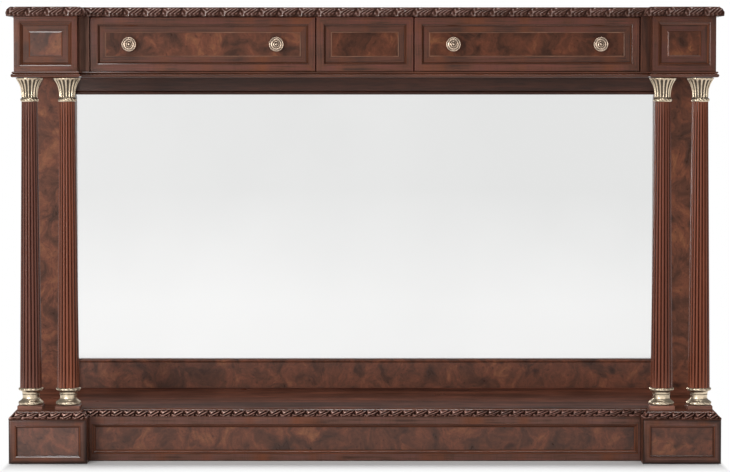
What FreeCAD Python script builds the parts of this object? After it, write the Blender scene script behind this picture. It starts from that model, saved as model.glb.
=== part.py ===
import FreeCAD, Part
import math
import os
import types
import Sketcher
from FreeCAD import Vector

# Break-front pier table with two drawers, paired reeded columns and a mirror back.
# Millimetres. X is the width, the front faces -Y, Z is up, and the floor is Z = 0.
# The origin lies on the floor in the middle of the top's width and depth.

# Driving dimensions: name, size, what it measures.
SIZES = [
    # Plan
    ("frieze_width", 1471, "over the outer faces of the frieze end blocks"),
    ("frieze_depth", 465.5, "front of the end blocks to the back of the table"),
    ("break_depth", 48, "how far the end blocks stand in front of the centre"),
    # Top
    ("top_overhang", 14.5, "top beyond the frieze, at the front and ends"),
    ("top_thickness", 20, "board of the top"),
    ("top_edge_round", 13, "ovolo on the upper edge of the top"),
    ("top_edge_ease", 2, "rounding on the lower edge of the top"),
    # Frieze
    ("frieze_height", 116, "soffit to the underside of the top"),
    ("frieze_block_width", 133, "end block over the columns"),
    ("frieze_block_depth", 82, "end block, front to back"),
    ("frieze_end_thickness", 18, "end board behind a block"),
    ("guide_thickness", 20.5, "drawer guide, whose front edge shows"),
    ("divider_thickness", 18, "board between a drawer and the centre"),
    ("centre_front_width", 205, "fixed panel between the drawers"),
    ("front_thickness", 20, "drawer fronts and the centre front"),
    ("front_seam", 0.6, "joint above and below the centre front"),
    ("soffit_thickness", 12, "board under the frieze"),
    ("bead_projection", 6, "bead moulding beyond the frieze"),
    ("bead_fillet_height", 3, "flat step above the bead"),
    ("bead_fillet_projection", 3.5, "flat step beyond the frieze"),
    # Sunk panels
    ("panel_sink", 6, "panel field behind its frame"),
    ("broad_moulding", 8, "moulding on the frieze blocks and the base centre"),
    ("slim_moulding", 5, "moulding on the drawers, the centre front and the base blocks"),
    ("moulding_round", 4.5, "ovolo on a moulding's inner edge"),
    ("front_margin", 14.4, "frame of the drawers and the centre front"),
    ("block_margin", 11.2, "frame round a block's field"),
    ("block_band", 12.3, "flat band between a block's moulding and its raised panel"),
    ("block_panel_rise", 2, "raised panel in front of that band"),
    # Drawers
    ("drawer_side_gap", 2.25, "beside a drawer front, on each side"),
    ("drawer_edge_gap", 1, "above and below a drawer front"),
    ("drawer_run_clearance", 0.3, "drawer sides above the soffit"),
    ("drawer_box_inset", 1, "drawer sides inside the ends of the front"),
    ("drawer_back_clearance", 22.5, "drawer box in front of the back frame"),
    ("drawer_box_height", 108, "drawer sides"),
    ("drawer_side_thickness", 10, "drawer sides and back"),
    ("drawer_bottom_thickness", 6, "drawer bottom"),
    ("drawer_bottom_rise", 8, "underside of the bottom above the side's lower edge"),
    ("drawer_groove_depth", 4, "groove that holds the bottom"),
    ("knob_inset", 82, "knob axis from the end of the drawer front"),
    ("knob_radius", 15.5, "knob face"),
    ("knob_neck_radius", 7.5, "knob neck"),
    ("knob_foot_radius", 10.5, "knob foot on the field"),
    ("knob_foot_height", 3, "knob foot"),
    ("knob_neck_height", 9, "field to the underside of the knob face"),
    ("knob_rim_height", 5, "edge of the knob face"),
    ("knob_crown", 4, "rise of the knob face"),
    ("knob_button_radius", 4, "button in the middle of the knob"),
    ("knob_button_height", 2, "button in the middle of the knob"),
    ("knob_stud_radius", 3, "stud through the drawer front"),
    ("knob_stud_end", 6, "stud behind the drawer front"),
    ("knob_stud_clearance", 0.2, "hole round the stud"),
    # Base
    ("base_height", 94, "floor to the underside of the shelf"),
    ("base_projection", 13.5, "base beyond the frieze, at the front and ends"),
    ("base_block_step", 18, "base block beyond the frieze block on its inner side"),
    ("base_block_depth", 84, "base block, front to back"),
    ("base_board_thickness", 18, "base ends, centre and back rail"),
    ("base_block_margin", 13, "frame round a base block's field"),
    ("base_block_ease", 4, "rounding on a base block's upright corners"),
    ("base_centre_side_margin", 6, "frame at the ends of the base centre"),
    ("base_centre_edge_margin", 15, "frame above and below on the base centre"),
    ("shelf_thickness", 17, "shelf board and the moulding round it"),
    ("base_moulding_width", 14, "carved moulding, front to back"),
    ("base_moulding_fillet", 4, "flat step over the carved slope"),
    ("base_moulding_ledge", 3, "top of that step"),
    ("base_moulding_lip", 2.5, "flat foot under the carved slope"),
    ("base_moulding_radius", 40, "hollow of the carved slope"),
    # Columns
    ("column_setback", 30.5, "column axis behind the front of the frieze block"),
    ("plinth_side", 52, "square plinth under a column"),
    ("plinth_height", 9.5, "square plinth under a column"),
    ("plinth_ledge", 2.6, "shelf beside a plinth, at the block's edges"),
    ("foot_height", 36.5, "cast base of a column"),
    ("foot_radius", 28, "lower torus of the cast base"),
    ("foot_torus_height", 13, "lower torus of the cast base"),
    ("foot_torus_bulge", 4, "roundness of that torus"),
    ("foot_neck_radius", 23.5, "edges of the hollow of the cast base"),
    ("foot_hollow_share", 0.42, "depth of the hollow over its height"),
    ("foot_ring_radius", 26, "upper ring of the cast base"),
    ("foot_ring_height", 7, "upper ring of the cast base"),
    ("foot_ring_bulge", 2, "roundness of that ring"),
    ("shaft_length", 604, "between the cast base and the capital"),
    ("shaft_foot_radius", 23, "shaft over the reeds at its foot"),
    ("shaft_head_radius", 16.8, "shaft over the reeds at its head"),
    ("reed_count", 18, "reeds round a shaft"),
    ("reed_foot_depth", 2.2, "groove between two reeds at the foot"),
    ("reed_head_depth", 1.7, "groove between two reeds at the head"),
    ("reed_foot_radius", 4.2, "roundness of a reed at the foot"),
    ("reed_head_radius", 3.2, "roundness of a reed at the head"),
    ("reed_crest", 0.5, "half of the flat left on a reed's crest"),
    ("tenon_radius", 8, "tenons at both ends of a shaft"),
    ("tenon_clearance", 0.2, "hole round a tenon"),
    ("tenon_in_block", 25, "upper tenon inside the frieze block"),
    ("capital_height", 51, "capital"),
    ("capital_ring_height", 10, "plain ring at the foot of the capital"),
    ("capital_ring_radius", 19, "plain ring at the foot of the capital"),
    ("capital_neck_radius", 16.8, "bell above its ring"),
    ("capital_top_radius", 28, "bell at the leaf tips"),
    ("capital_lip", 3, "upright edge at the leaf tips"),
    ("capital_bell_radius", 70, "curve of the bell"),
    ("leaf_count", 16, "leaves round a capital"),
    ("leaf_gap_angle", 9, "degrees between two leaves"),
    ("leaf_gap_depth", 2.2, "hollow between two leaves"),
    ("leaf_root", 1, "bell left whole above its ring"),
    # Back
    ("back_frame_depth", 32, "stiles and rails, front to back"),
    ("back_stile_width", 80.5, "stile beside the mirror"),
    ("pilaster_depth", 25, "thicker front of a stile between the shelf and the soffit"),
    ("back_rail_height", 65.5, "bottom rail between the shelf and the mirror"),
    ("back_rail_drop", 37, "top rail below the soffit"),
    ("back_bead_height", 8, "bead along the mirror on the rails"),
    ("back_bead_projection", 3, "bead in front of the rails"),
    ("mirror_lip", 9, "frame in front of the glass"),
    ("mirror_lap", 8, "glass behind the frame on each side"),
    ("mirror_room", 0.5, "room round the glass in its rebate"),
    ("mirror_thickness", 6, "glass"),
    ("mirror_bevel", 24, "bevel in view round the glass"),
    ("mirror_bevel_drop", 0.5, "fall of the bevel"),
    ("backing_thickness", 8, "board behind the glass"),
]


class Size:
    """A number and the spreadsheet expression that gives it, kept together through arithmetic."""

    def __init__(self, value, text):
        self.value = value
        self.text = text

    def __add__(self, other):
        other = as_size(other)
        return Size(self.value + other.value, f"({self.text} + {other.text})")

    def __sub__(self, other):
        other = as_size(other)
        return Size(self.value - other.value, f"({self.text} - {other.text})")

    def __mul__(self, other):
        other = as_size(other)
        return Size(self.value * other.value, f"({self.text} * {other.text})")

    def __truediv__(self, other):
        other = as_size(other)
        return Size(self.value / other.value, f"({self.text} / {other.text})")

    def __neg__(self):
        return Size(-self.value, f"(0 - {self.text})")

    def __rmul__(self, other):
        return as_size(other) * self


def as_size(value):
    """Let a plain number take part in Size arithmetic."""
    return value if isinstance(value, Size) else Size(value, str(value))


doc = FreeCAD.newDocument("pier_table")
sheet = doc.addObject("Spreadsheet::Sheet", "Dims")
for row, (alias, value, note) in enumerate(SIZES, start=1):
    sheet.set(f"A{row}", alias)
    sheet.set(f"B{row}", str(value))
    sheet.setAlias(f"B{row}", alias)
    sheet.set(f"C{row}", note)
doc.recompute()
d = types.SimpleNamespace(**{alias: Size(value, f"Dims.{alias}") for alias, value, note in SIZES})

# Places that several pieces share
ZERO = as_size(0)
HALF = d.frieze_width / 2
BACK = (d.frieze_depth + d.top_overhang) / 2
FRIEZE_FRONT = BACK - d.frieze_depth
CENTRE_FRONT = FRIEZE_FRONT + d.break_depth
BLOCK_INNER = HALF - d.frieze_block_width
BASE_HALF = HALF + d.base_projection
BASE_FRONT = FRIEZE_FRONT - d.base_projection
BASE_BLOCK_INNER = BLOCK_INNER - d.base_block_step
BASE_BLOCK_WIDTH = BASE_HALF - BASE_BLOCK_INNER
BACK_FRAME_FRONT = BACK - d.back_frame_depth
SIGHT_HALF = HALF - d.back_stile_width
COLUMN_Y = FRIEZE_FRONT + d.column_setback
COLUMN_INSET = d.base_moulding_width + d.plinth_ledge + d.plinth_side / 2
COLUMN_OUTER = BASE_HALF - COLUMN_INSET
COLUMN_INNER = BASE_BLOCK_INNER + COLUMN_INSET
TENON_BORE = d.tenon_radius + d.tenon_clearance

Z_SHELF = d.base_height + d.shelf_thickness
Z_FOOT = Z_SHELF + d.plinth_height
Z_SHAFT = Z_FOOT + d.foot_height
Z_CAPITAL = Z_SHAFT + d.shaft_length
Z_SOFFIT = Z_CAPITAL + d.capital_height
Z_FRIEZE = Z_SOFFIT + d.soffit_thickness
Z_TOP = Z_FRIEZE + d.frieze_height
Z_SIGHT_LOW = Z_SHELF + d.back_rail_height
Z_SIGHT_HIGH = Z_SOFFIT - d.back_rail_drop

TOUCH = 1e-6
PIECES = []
SIDES = (("left", -1), ("right", 1))


# Sketch and feature helpers

def place(piece, x, y, z):
    """Bind where an object stands."""
    for axis, size in zip("xyz", (x, y, z)):
        piece.setExpression(f"Placement.Base.{axis}", size.text)
    return piece


def keep(piece, x, y, z):
    """Place a finished piece and list it for export."""
    PIECES.append(place(piece, x, y, z))


def keep_group(label, members):
    """List a set of alike solids for export as one piece."""
    group = doc.addObject("Part::Compound", label)
    group.Label = label
    group.Links = members
    PIECES.append(group)


def new_body(label):
    """An empty body named for its piece."""
    body = doc.addObject("PartDesign::Body", label)
    body.Label = label
    return body


def origin_feature(body, role):
    """One of a body's own origin planes or axes."""
    return next(item for item in body.Origin.OriginFeatures if item.Role == role)


def new_sketch(body, name, role, offset=ZERO):
    """A sketch on one of the body's origin planes, moved along that plane's normal."""
    sketch = body.newObject("Sketcher::SketchObject", name)
    sketch.AttachmentSupport = [(origin_feature(body, role), "")]
    sketch.MapMode = "FlatFace"
    sketch.setExpression("AttachmentOffset.Base.z", offset.text)
    return sketch


def pin(sketch, edge, end, x, y):
    """Hold one end of a sketch edge at x, y from the sketch's origin."""
    for kind, axis, size in (("DistanceX", -2, as_size(x)), ("DistanceY", -1, as_size(y))):
        if size.text == ZERO.text:
            sketch.addConstraint(Sketcher.Constraint("PointOnObject", edge, end, axis))
        else:
            index = sketch.addConstraint(Sketcher.Constraint(kind, -1, 1, edge, end, size.value))
            sketch.setExpression(f"Constraints[{index}]", size.text)


def arc_between(start, finish, radius):
    """The short arc from start to finish: anticlockwise for a positive radius, else clockwise."""
    chord = finish - start
    left = Vector(-chord.y, chord.x, 0).normalize() * math.copysign(1, radius)
    rise = math.sqrt(max(0, radius ** 2 - (chord.Length / 2) ** 2))
    centre = start + chord / 2 + left * rise
    ends = (start, finish) if radius > 0 else (finish, start)
    low, high = (math.atan2(end.y - centre.y, end.x - centre.x) for end in ends)
    return Part.ArcOfCircle(Part.Circle(centre, Vector(0, 0, 1), abs(radius)), low, high)


def draw(sketch, corners, closed=True):
    """Draw an outline through corners (x, y) or, where an arc leads to a corner, (x, y, radius)."""
    points = [Vector(as_size(corner[0]).value, as_size(corner[1]).value, 0) for corner in corners]
    count = len(corners)
    first = sketch.GeometryCount
    starts = []
    for index in range(count if closed else count - 1):
        target = (index + 1) % count
        start, finish = points[index], points[target]
        if len(corners[target]) > 2:
            radius = as_size(corners[target][2])
            edge = sketch.addGeometry(arc_between(start, finish, radius.value))
            forward = radius.value > 0
            size = radius if forward else -radius
            held = sketch.addConstraint(Sketcher.Constraint("Radius", edge, size.value))
            sketch.setExpression(f"Constraints[{held}]", size.text)
        else:
            edge = sketch.addGeometry(Part.LineSegment(start, finish))
            forward = True
        starts.append((1, 2) if forward else (2, 1))
    edges = len(starts)
    for index in range(edges if closed else edges - 1):
        following = (index + 1) % edges
        sketch.addConstraint(Sketcher.Constraint(
            "Coincident", first + index, starts[index][1], first + following, starts[following][0]))
    for index in range(edges):
        pin(sketch, first + index, starts[index][0], corners[index][0], corners[index][1])
    if not closed:
        pin(sketch, first + edges - 1, starts[-1][1], corners[-1][0], corners[-1][1])
    return sketch


def draw_box(sketch, x0, x1, y0, y1):
    """Draw a rectangle."""
    return draw(sketch, [(x0, y0), (x1, y0), (x1, y1), (x0, y1)])


def draw_circle(sketch, x, y, radius):
    """Draw a circle with its centre and radius held."""
    centre = Vector(as_size(x).value, as_size(y).value, 0)
    edge = sketch.addGeometry(Part.Circle(centre, Vector(0, 0, 1), radius.value))
    held = sketch.addConstraint(Sketcher.Constraint("Radius", edge, radius.value))
    sketch.setExpression(f"Constraints[{held}]", radius.text)
    pin(sketch, edge, 3, x, y)
    return sketch


def pad(body, sketch, length, reverse=False):
    """Give a sketch its thickness."""
    feature = body.newObject("PartDesign::Pad", f"{sketch.Name}_pad")
    feature.Profile = sketch
    feature.setExpression("Length", length.text)
    feature.Reversed = reverse
    return feature


def pocket(body, sketch, depth, reverse=False):
    """Sink a sketch into the body."""
    feature = body.newObject("PartDesign::Pocket", f"{sketch.Name}_pocket")
    feature.Profile = sketch
    feature.setExpression("Length", depth.text)
    feature.Reversed = reverse
    return feature


def turn(body, sketch, kind="PartDesign::Revolution"):
    """Turn a half profile about the sketch's upright axis."""
    feature = body.newObject(kind, f"{sketch.Name}_turned")
    feature.Profile = sketch
    feature.ReferenceAxis = (sketch, ["V_Axis"])
    feature.Angle = 360
    return feature


def polar(body, feature, count):
    """Repeat a feature round the body's own Z axis."""
    pattern = body.newObject("PartDesign::PolarPattern", f"{feature.Name}_ring")
    pattern.Originals = [feature]
    pattern.Axis = (origin_feature(body, "Z_Axis"), [""])
    pattern.Angle = 360
    pattern.setExpression("Occurrences", count.text)
    body.Tip = pattern
    return pattern


def fillet(body, feature, radius, chosen):
    """Round the edges of a feature whose middle point passes the test."""
    doc.recompute()
    names = [f"Edge{number}" for number, edge in enumerate(feature.Shape.Edges, start=1)
             if chosen(edge.valueAt((edge.FirstParameter + edge.LastParameter) / 2))]
    rounded = body.newObject("PartDesign::Fillet", f"{feature.Name}_fillet{len(names)}")
    rounded.Base = (feature, names)
    rounded.setExpression("Radius", radius.text)
    return rounded


def near(measure, size):
    """Whether a measured place is the one meant."""
    return abs(measure - size.value) < TOUCH


def bulge_radius(chord, rise):
    """Radius of an arc over a chord that rises by the given height."""
    return chord * chord / (8 * rise) + rise / 2


def board(label, x0, x1, y0, y1, z0, z1):
    """A plain board between two corners."""
    piece = doc.addObject("Part::Box", label)
    piece.Label = label
    for name, low, high in (("Length", x0, x1), ("Width", y0, y1), ("Height", z0, z1)):
        piece.setExpression(name, (high - low).text)
    keep(piece, x0, y0, z0)


def mirrored(side, near_x, far_x):
    """The X range of a piece on one side, from its distances to the middle."""
    return (near_x, far_x) if side > 0 else (-far_x, -near_x)


# Break-front plan, shared by the top, the soffit, the shelf and the mouldings

def break_front(half, inner, front, recess, grow):
    """Corners of the plan from the back left, round the front, to the back right."""
    left, right = -(half + grow), half + grow
    low, high = -(inner - grow), inner - grow
    return [(left, BACK), (left, front - grow), (low, front - grow), (low, recess - grow),
            (high, recess - grow), (high, front - grow), (right, front - grow), (right, BACK)]


def frieze_plan(grow):
    return break_front(HALF, BLOCK_INNER, FRIEZE_FRONT, CENTRE_FRONT, grow)


def base_plan(grow):
    return break_front(BASE_HALF, BASE_BLOCK_INNER, BASE_FRONT, BASE_FRONT + d.break_depth, grow)


def cut_back(plan, back):
    """The same plan ending further forward."""
    return [(plan[0][0], back)] + plan[1:-1] + [(plan[-1][0], back)]


def column_places():
    """Label and axis of every column."""
    for side, sign in SIDES:
        for position, x in (("outer", COLUMN_OUTER), ("inner", COLUMN_INNER)):
            yield f"{side}_{position}", x * sign


def tenon_holes(body, name, depth):
    """Bore the holes that take the column tenons, upwards from the body's underside."""
    sketch = new_sketch(body, name, "XY_Plane")
    for label, x in column_places():
        draw_circle(sketch, x, COLUMN_Y, TENON_BORE)
    pocket(body, sketch, depth, reverse=True)


def moulding(label, plan, level, section):
    """Carry a section (out, up) round a plan with mitred corners."""
    body = new_body(label)
    path = draw(new_sketch(body, f"{label}_path", "XY_Plane"), plan, closed=False)
    start = plan[0][0]
    corners = [(start - corner[0], *corner[1:]) for corner in section]
    outline = draw(new_sketch(body, f"{label}_section", "XZ_Plane", -BACK), corners)
    run = body.newObject("PartDesign::AdditivePipe", f"{label}_run")
    run.Profile = outline
    run.Spine = path
    run.Transition = "Right corner"
    keep(body, ZERO, ZERO, level)


# Sunk panels

def framed_front(label, width, height, thickness, side_margin, edge_margin):
    """A front whose face is sunk inside a frame; its face is local Y = 0, its foot Z = 0."""
    body = new_body(label)
    face = draw_box(new_sketch(body, f"{label}_face", "XZ_Plane"), -(width / 2), width / 2, ZERO, height)
    pad(body, face, thickness, reverse=True)
    field = draw_box(new_sketch(body, f"{label}_field", "XZ_Plane"),
                     -(width / 2 - side_margin), width / 2 - side_margin, edge_margin, height - edge_margin)
    pocket(body, field, d.panel_sink)
    return body


def panel_moulding(label, width, height, side_margin, edge_margin, breadth):
    """The moulding planted round a sunk field, rounded on its inner edge."""
    body = new_body(label)
    half = width / 2 - side_margin
    inner = half - breadth
    low, high = edge_margin, height - edge_margin
    sketch = new_sketch(body, f"{label}_ring", "XZ_Plane")
    draw_box(sketch, -half, half, low, high)
    draw_box(sketch, -inner, inner, low + breadth, high - breadth)
    ring = pad(body, sketch, d.panel_sink, reverse=True)

    def inside(point):
        across = abs(point.x) < half.value - breadth.value / 2
        upright = low.value + breadth.value / 2 < point.z
        below = point.z < high.value - breadth.value / 2
        return near(point.y, ZERO) and across and upright and below

    fillet(body, ring, d.moulding_round, inside)
    return body


# Top and frieze

def top_board():
    body = new_body("top_board")
    plan = draw(new_sketch(body, "top_plan", "XY_Plane"), frieze_plan(d.top_overhang))
    slab = pad(body, plan, d.top_thickness)

    def worked(level):
        return lambda point: near(point.z, level) and not near(point.y, BACK)

    upper = fillet(body, slab, d.top_edge_round, worked(d.top_thickness))
    fillet(body, upper, d.top_edge_ease, worked(ZERO))
    keep(body, ZERO, ZERO, Z_TOP)


def soffit_board():
    body = new_body("soffit_board")
    plan = cut_back(frieze_plan(ZERO), BACK_FRAME_FRONT)
    pad(body, draw(new_sketch(body, "soffit_plan", "XY_Plane"), plan), d.soffit_thickness)
    tenon_holes(body, "soffit_bores", d.soffit_thickness)
    keep(body, ZERO, ZERO, Z_SOFFIT)


def frieze_bead():
    bead = d.soffit_thickness - d.bead_fillet_height
    round_out = bulge_radius(bead, d.bead_projection - d.bead_fillet_projection)
    section = [(ZERO, ZERO), (ZERO, d.soffit_thickness), (d.bead_fillet_projection, d.soffit_thickness),
               (d.bead_fillet_projection, bead), (d.bead_fillet_projection, ZERO, round_out)]
    moulding("frieze_bead", frieze_plan(ZERO), Z_SOFFIT, section)


def frieze_blocks():
    for side, sign in SIDES:
        width, height = d.frieze_block_width, d.frieze_height
        label = f"{side}_frieze_block"
        middle = (HALF - width / 2) * sign
        body = framed_front(label, width, height, d.frieze_block_depth, d.block_margin, d.block_margin)
        bores = new_sketch(body, f"{label}_bores", "XY_Plane")
        for column, x in column_places():
            if column.startswith(side):
                draw_circle(bores, x - middle, d.column_setback, TENON_BORE)
        pocket(body, bores, d.tenon_in_block, reverse=True)
        inset = d.block_margin + d.broad_moulding + d.block_band
        raised = new_sketch(body, f"{label}_raised", "XZ_Plane", -d.panel_sink)
        draw_box(raised, -(width / 2 - inset), width / 2 - inset, inset, height - inset)
        pad(body, raised, d.block_panel_rise)
        keep(body, middle, FRIEZE_FRONT, Z_FRIEZE)
        ring = panel_moulding(f"{label}_moulding", width, height, d.block_margin, d.block_margin,
                              d.broad_moulding)
        keep(ring, middle, FRIEZE_FRONT, Z_FRIEZE)


def frieze_boards():
    """Ends, drawer guides and dividers, which stand on the soffit and carry the top."""
    for side, sign in SIDES:
        block_back = FRIEZE_FRONT + d.frieze_block_depth
        low, high = mirrored(sign, HALF - d.frieze_end_thickness, HALF)
        board(f"{side}_frieze_end", low, high, block_back, BACK_FRAME_FRONT, Z_FRIEZE, Z_TOP)
        low, high = mirrored(sign, BLOCK_INNER - d.guide_thickness, BLOCK_INNER)
        board(f"{side}_drawer_guide", low, high, CENTRE_FRONT, BACK_FRAME_FRONT, Z_FRIEZE, Z_TOP)
        edge = d.centre_front_width / 2
        low, high = mirrored(sign, edge - d.divider_thickness, edge)
        board(f"{side}_divider", low, high, CENTRE_FRONT + d.front_thickness, BACK_FRAME_FRONT,
              Z_FRIEZE, Z_TOP)


def centre_front():
    width, height = d.centre_front_width, d.frieze_height - 2 * d.front_seam
    margins = d.front_margin, d.front_margin
    body = framed_front("centre_front", width, height, d.front_thickness, *margins)
    keep(body, ZERO, CENTRE_FRONT, Z_FRIEZE + d.front_seam)
    ring = panel_moulding("centre_front_moulding", width, height, *margins, d.slim_moulding)
    keep(ring, ZERO, CENTRE_FRONT, Z_FRIEZE + d.front_seam)


# Drawers

DRAWER_INNER = d.centre_front_width / 2 + d.drawer_side_gap
DRAWER_OUTER = BLOCK_INNER - d.guide_thickness - d.drawer_side_gap
DRAWER_WIDTH = DRAWER_OUTER - DRAWER_INNER
DRAWER_HEIGHT = d.frieze_height - 2 * d.drawer_edge_gap
DRAWER_MIDDLE = (DRAWER_OUTER + DRAWER_INNER) / 2
KNOB_STEP = DRAWER_WIDTH / 2 - d.knob_inset
BOX_HALF = DRAWER_WIDTH / 2 - d.drawer_box_inset
BOX_FRONT = CENTRE_FRONT + d.front_thickness
BOX_BACK = BACK_FRAME_FRONT - d.drawer_back_clearance
Z_BOX = Z_FRIEZE + d.drawer_run_clearance
Z_BOTTOM = Z_BOX + d.drawer_bottom_rise
Z_KNOB = Z_FRIEZE + d.frieze_height / 2
OUT_OF_FRONT = FreeCAD.Rotation(Vector(1, 0, 0), 90)


def drawer_front(label, middle):
    margins = d.front_margin, d.front_margin
    foot = Z_FRIEZE + d.drawer_edge_gap
    body = framed_front(label, DRAWER_WIDTH, DRAWER_HEIGHT, d.front_thickness, *margins)
    bores = new_sketch(body, f"{label}_bores", "XZ_Plane", -d.front_thickness)
    for step in (-1, 1):
        draw_circle(bores, step * KNOB_STEP, DRAWER_HEIGHT / 2,
                    d.knob_stud_radius + d.knob_stud_clearance)
    pocket(body, bores, d.front_thickness, reverse=True)
    groove = new_sketch(body, f"{label}_groove", "XZ_Plane", -d.front_thickness)
    inner = BOX_HALF - d.drawer_side_thickness + d.drawer_groove_depth
    low = Z_BOTTOM - foot
    draw_box(groove, -inner, inner, low, low + d.drawer_bottom_thickness)
    pocket(body, groove, d.drawer_groove_depth, reverse=True)
    keep(body, middle, CENTRE_FRONT, foot)
    ring = panel_moulding(f"{label}_moulding", DRAWER_WIDTH, DRAWER_HEIGHT, *margins, d.slim_moulding)
    keep(ring, middle, CENTRE_FRONT, foot)


def drawer_side(label, x, inward):
    """A side with the groove for the bottom on its inner face; local X = 0 is the outer face."""
    body = new_body(label)
    wall, floor = d.drawer_side_thickness * inward, d.drawer_bottom_rise
    root = (d.drawer_side_thickness - d.drawer_groove_depth) * inward
    ceiling = floor + d.drawer_bottom_thickness
    section = [(ZERO, ZERO), (wall, ZERO), (wall, floor), (root, floor), (root, ceiling), (wall, ceiling),
               (wall, d.drawer_box_height), (ZERO, d.drawer_box_height)]
    outline = draw(new_sketch(body, f"{label}_section", "XZ_Plane"), section)
    pad(body, outline, BOX_BACK - BOX_FRONT, reverse=True)
    keep(body, x, BOX_FRONT, Z_BOX)


def drawer_knobs(label, middle):
    """Two turned knobs, each in one piece with its stud; local Z points out of the drawer."""
    foot, neck = d.knob_foot_height, d.knob_neck_height
    rim = neck + d.knob_rim_height
    crown = rim + d.knob_crown
    button = crown + d.knob_button_height
    reach = d.front_thickness - d.panel_sink + d.knob_stud_end
    profile = [(ZERO, -reach), (d.knob_stud_radius, -reach), (d.knob_stud_radius, ZERO),
               (d.knob_foot_radius, ZERO), (d.knob_foot_radius, foot), (d.knob_neck_radius, foot),
               (d.knob_neck_radius, neck), (d.knob_radius, neck), (d.knob_radius, rim),
               (d.knob_button_radius, crown), (d.knob_button_radius, button), (ZERO, button)]
    knobs = []
    for name, step in (("outer", -1), ("inner", 1)):
        body = new_body(f"{label}_{name}")
        turn(body, draw(new_sketch(body, f"{label}_{name}_profile", "XZ_Plane"), profile))
        body.Placement.Rotation = OUT_OF_FRONT
        knobs.append(place(body, middle + step * KNOB_STEP, CENTRE_FRONT + d.panel_sink, Z_KNOB))
    keep_group(label, knobs)


def drawers():
    for side, sign in SIDES:
        middle = DRAWER_MIDDLE * sign
        drawer_front(f"{side}_drawer_front", middle)
        drawer_side(f"{side}_drawer_left_side", middle - BOX_HALF, 1)
        drawer_side(f"{side}_drawer_right_side", middle + BOX_HALF, -1)
        inner = BOX_HALF - d.drawer_side_thickness
        floor = Z_BOTTOM + d.drawer_bottom_thickness
        board(f"{side}_drawer_back", middle - inner, middle + inner,
              BOX_BACK - d.drawer_side_thickness, BOX_BACK, floor, Z_BOX + d.drawer_box_height)
        held = inner + d.drawer_groove_depth
        board(f"{side}_drawer_bottom", middle - held, middle + held,
              BOX_FRONT - d.drawer_groove_depth, BOX_BACK, Z_BOTTOM, floor)
        drawer_knobs(f"{side}_drawer_knobs", middle)


# Columns

def column_plinth(label):
    """Square plinth with the tenon's bore."""
    body = new_body(label)
    sketch = new_sketch(body, f"{label}_plan", "XY_Plane")
    half = d.plinth_side / 2
    draw_box(sketch, -half, half, -half, half)
    draw_circle(sketch, ZERO, ZERO, TENON_BORE)
    pad(body, sketch, d.plinth_height)
    return body


def column_base(label):
    """Cast base: a torus, a hollow and a ring, bored for the tenon."""
    body = new_body(label)
    torus, neck = d.foot_torus_height, d.foot_neck_radius
    ring = d.foot_height - d.foot_ring_height
    torus_edge = d.foot_radius - d.foot_torus_bulge
    ring_edge = d.foot_ring_radius - d.foot_ring_bulge
    hollow = bulge_radius(ring - torus, d.foot_hollow_share * (ring - torus))
    profile = [(TENON_BORE, ZERO), (torus_edge, ZERO),
               (torus_edge, torus, bulge_radius(torus, d.foot_torus_bulge)), (neck, torus),
               (neck, ring, -hollow), (ring_edge, ring),
               (ring_edge, d.foot_height, bulge_radius(d.foot_ring_height, d.foot_ring_bulge)),
               (TENON_BORE, d.foot_height)]
    turn(body, draw(new_sketch(body, f"{label}_profile", "XZ_Plane"), profile))
    return body


def reed_groove(body, name, level, radius, depth, roundness):
    """Section of the groove between two reeds: two reed flanks that meet in a sharp valley."""
    half_step = 180 / d.reed_count.value
    sine = Size(math.sin(math.radians(half_step)), "sin(180 deg / Dims.reed_count)")
    cosine = Size(math.cos(math.radians(half_step)), "cos(180 deg / Dims.reed_count)")
    half_width = radius * sine - d.reed_crest
    crest = radius * cosine
    outside = radius + depth
    section = [(radius - depth, ZERO, roundness), (crest, half_width, roundness), (outside, half_width),
               (outside, -half_width), (crest, -half_width)]
    return draw(new_sketch(body, name, "XY_Plane", level), section)


def column_shaft(label):
    """Tapering shaft with a tenon at each end, cut all round with lofted grooves that leave the reeds."""
    body = new_body(label)
    length, tenon = d.shaft_length, d.tenon_radius
    low = -(d.foot_height + d.plinth_height + d.shelf_thickness)
    high = length + d.capital_height + d.soffit_thickness + d.tenon_in_block
    profile = [(ZERO, low), (tenon, low), (tenon, ZERO), (d.shaft_foot_radius, ZERO),
               (d.shaft_head_radius, length), (tenon, length), (tenon, high), (ZERO, high)]
    turn(body, draw(new_sketch(body, f"{label}_profile", "XZ_Plane"), profile))
    foot = reed_groove(body, f"{label}_groove_foot", ZERO, d.shaft_foot_radius,
                       d.reed_foot_depth, d.reed_foot_radius)
    head = reed_groove(body, f"{label}_groove_head", length, d.shaft_head_radius,
                       d.reed_head_depth, d.reed_head_radius)
    groove = body.newObject("PartDesign::SubtractiveLoft", f"{label}_groove")
    groove.Profile = foot
    groove.Sections = [head]
    groove.Ruled = True
    polar(body, groove, d.reed_count)
    return body


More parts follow.
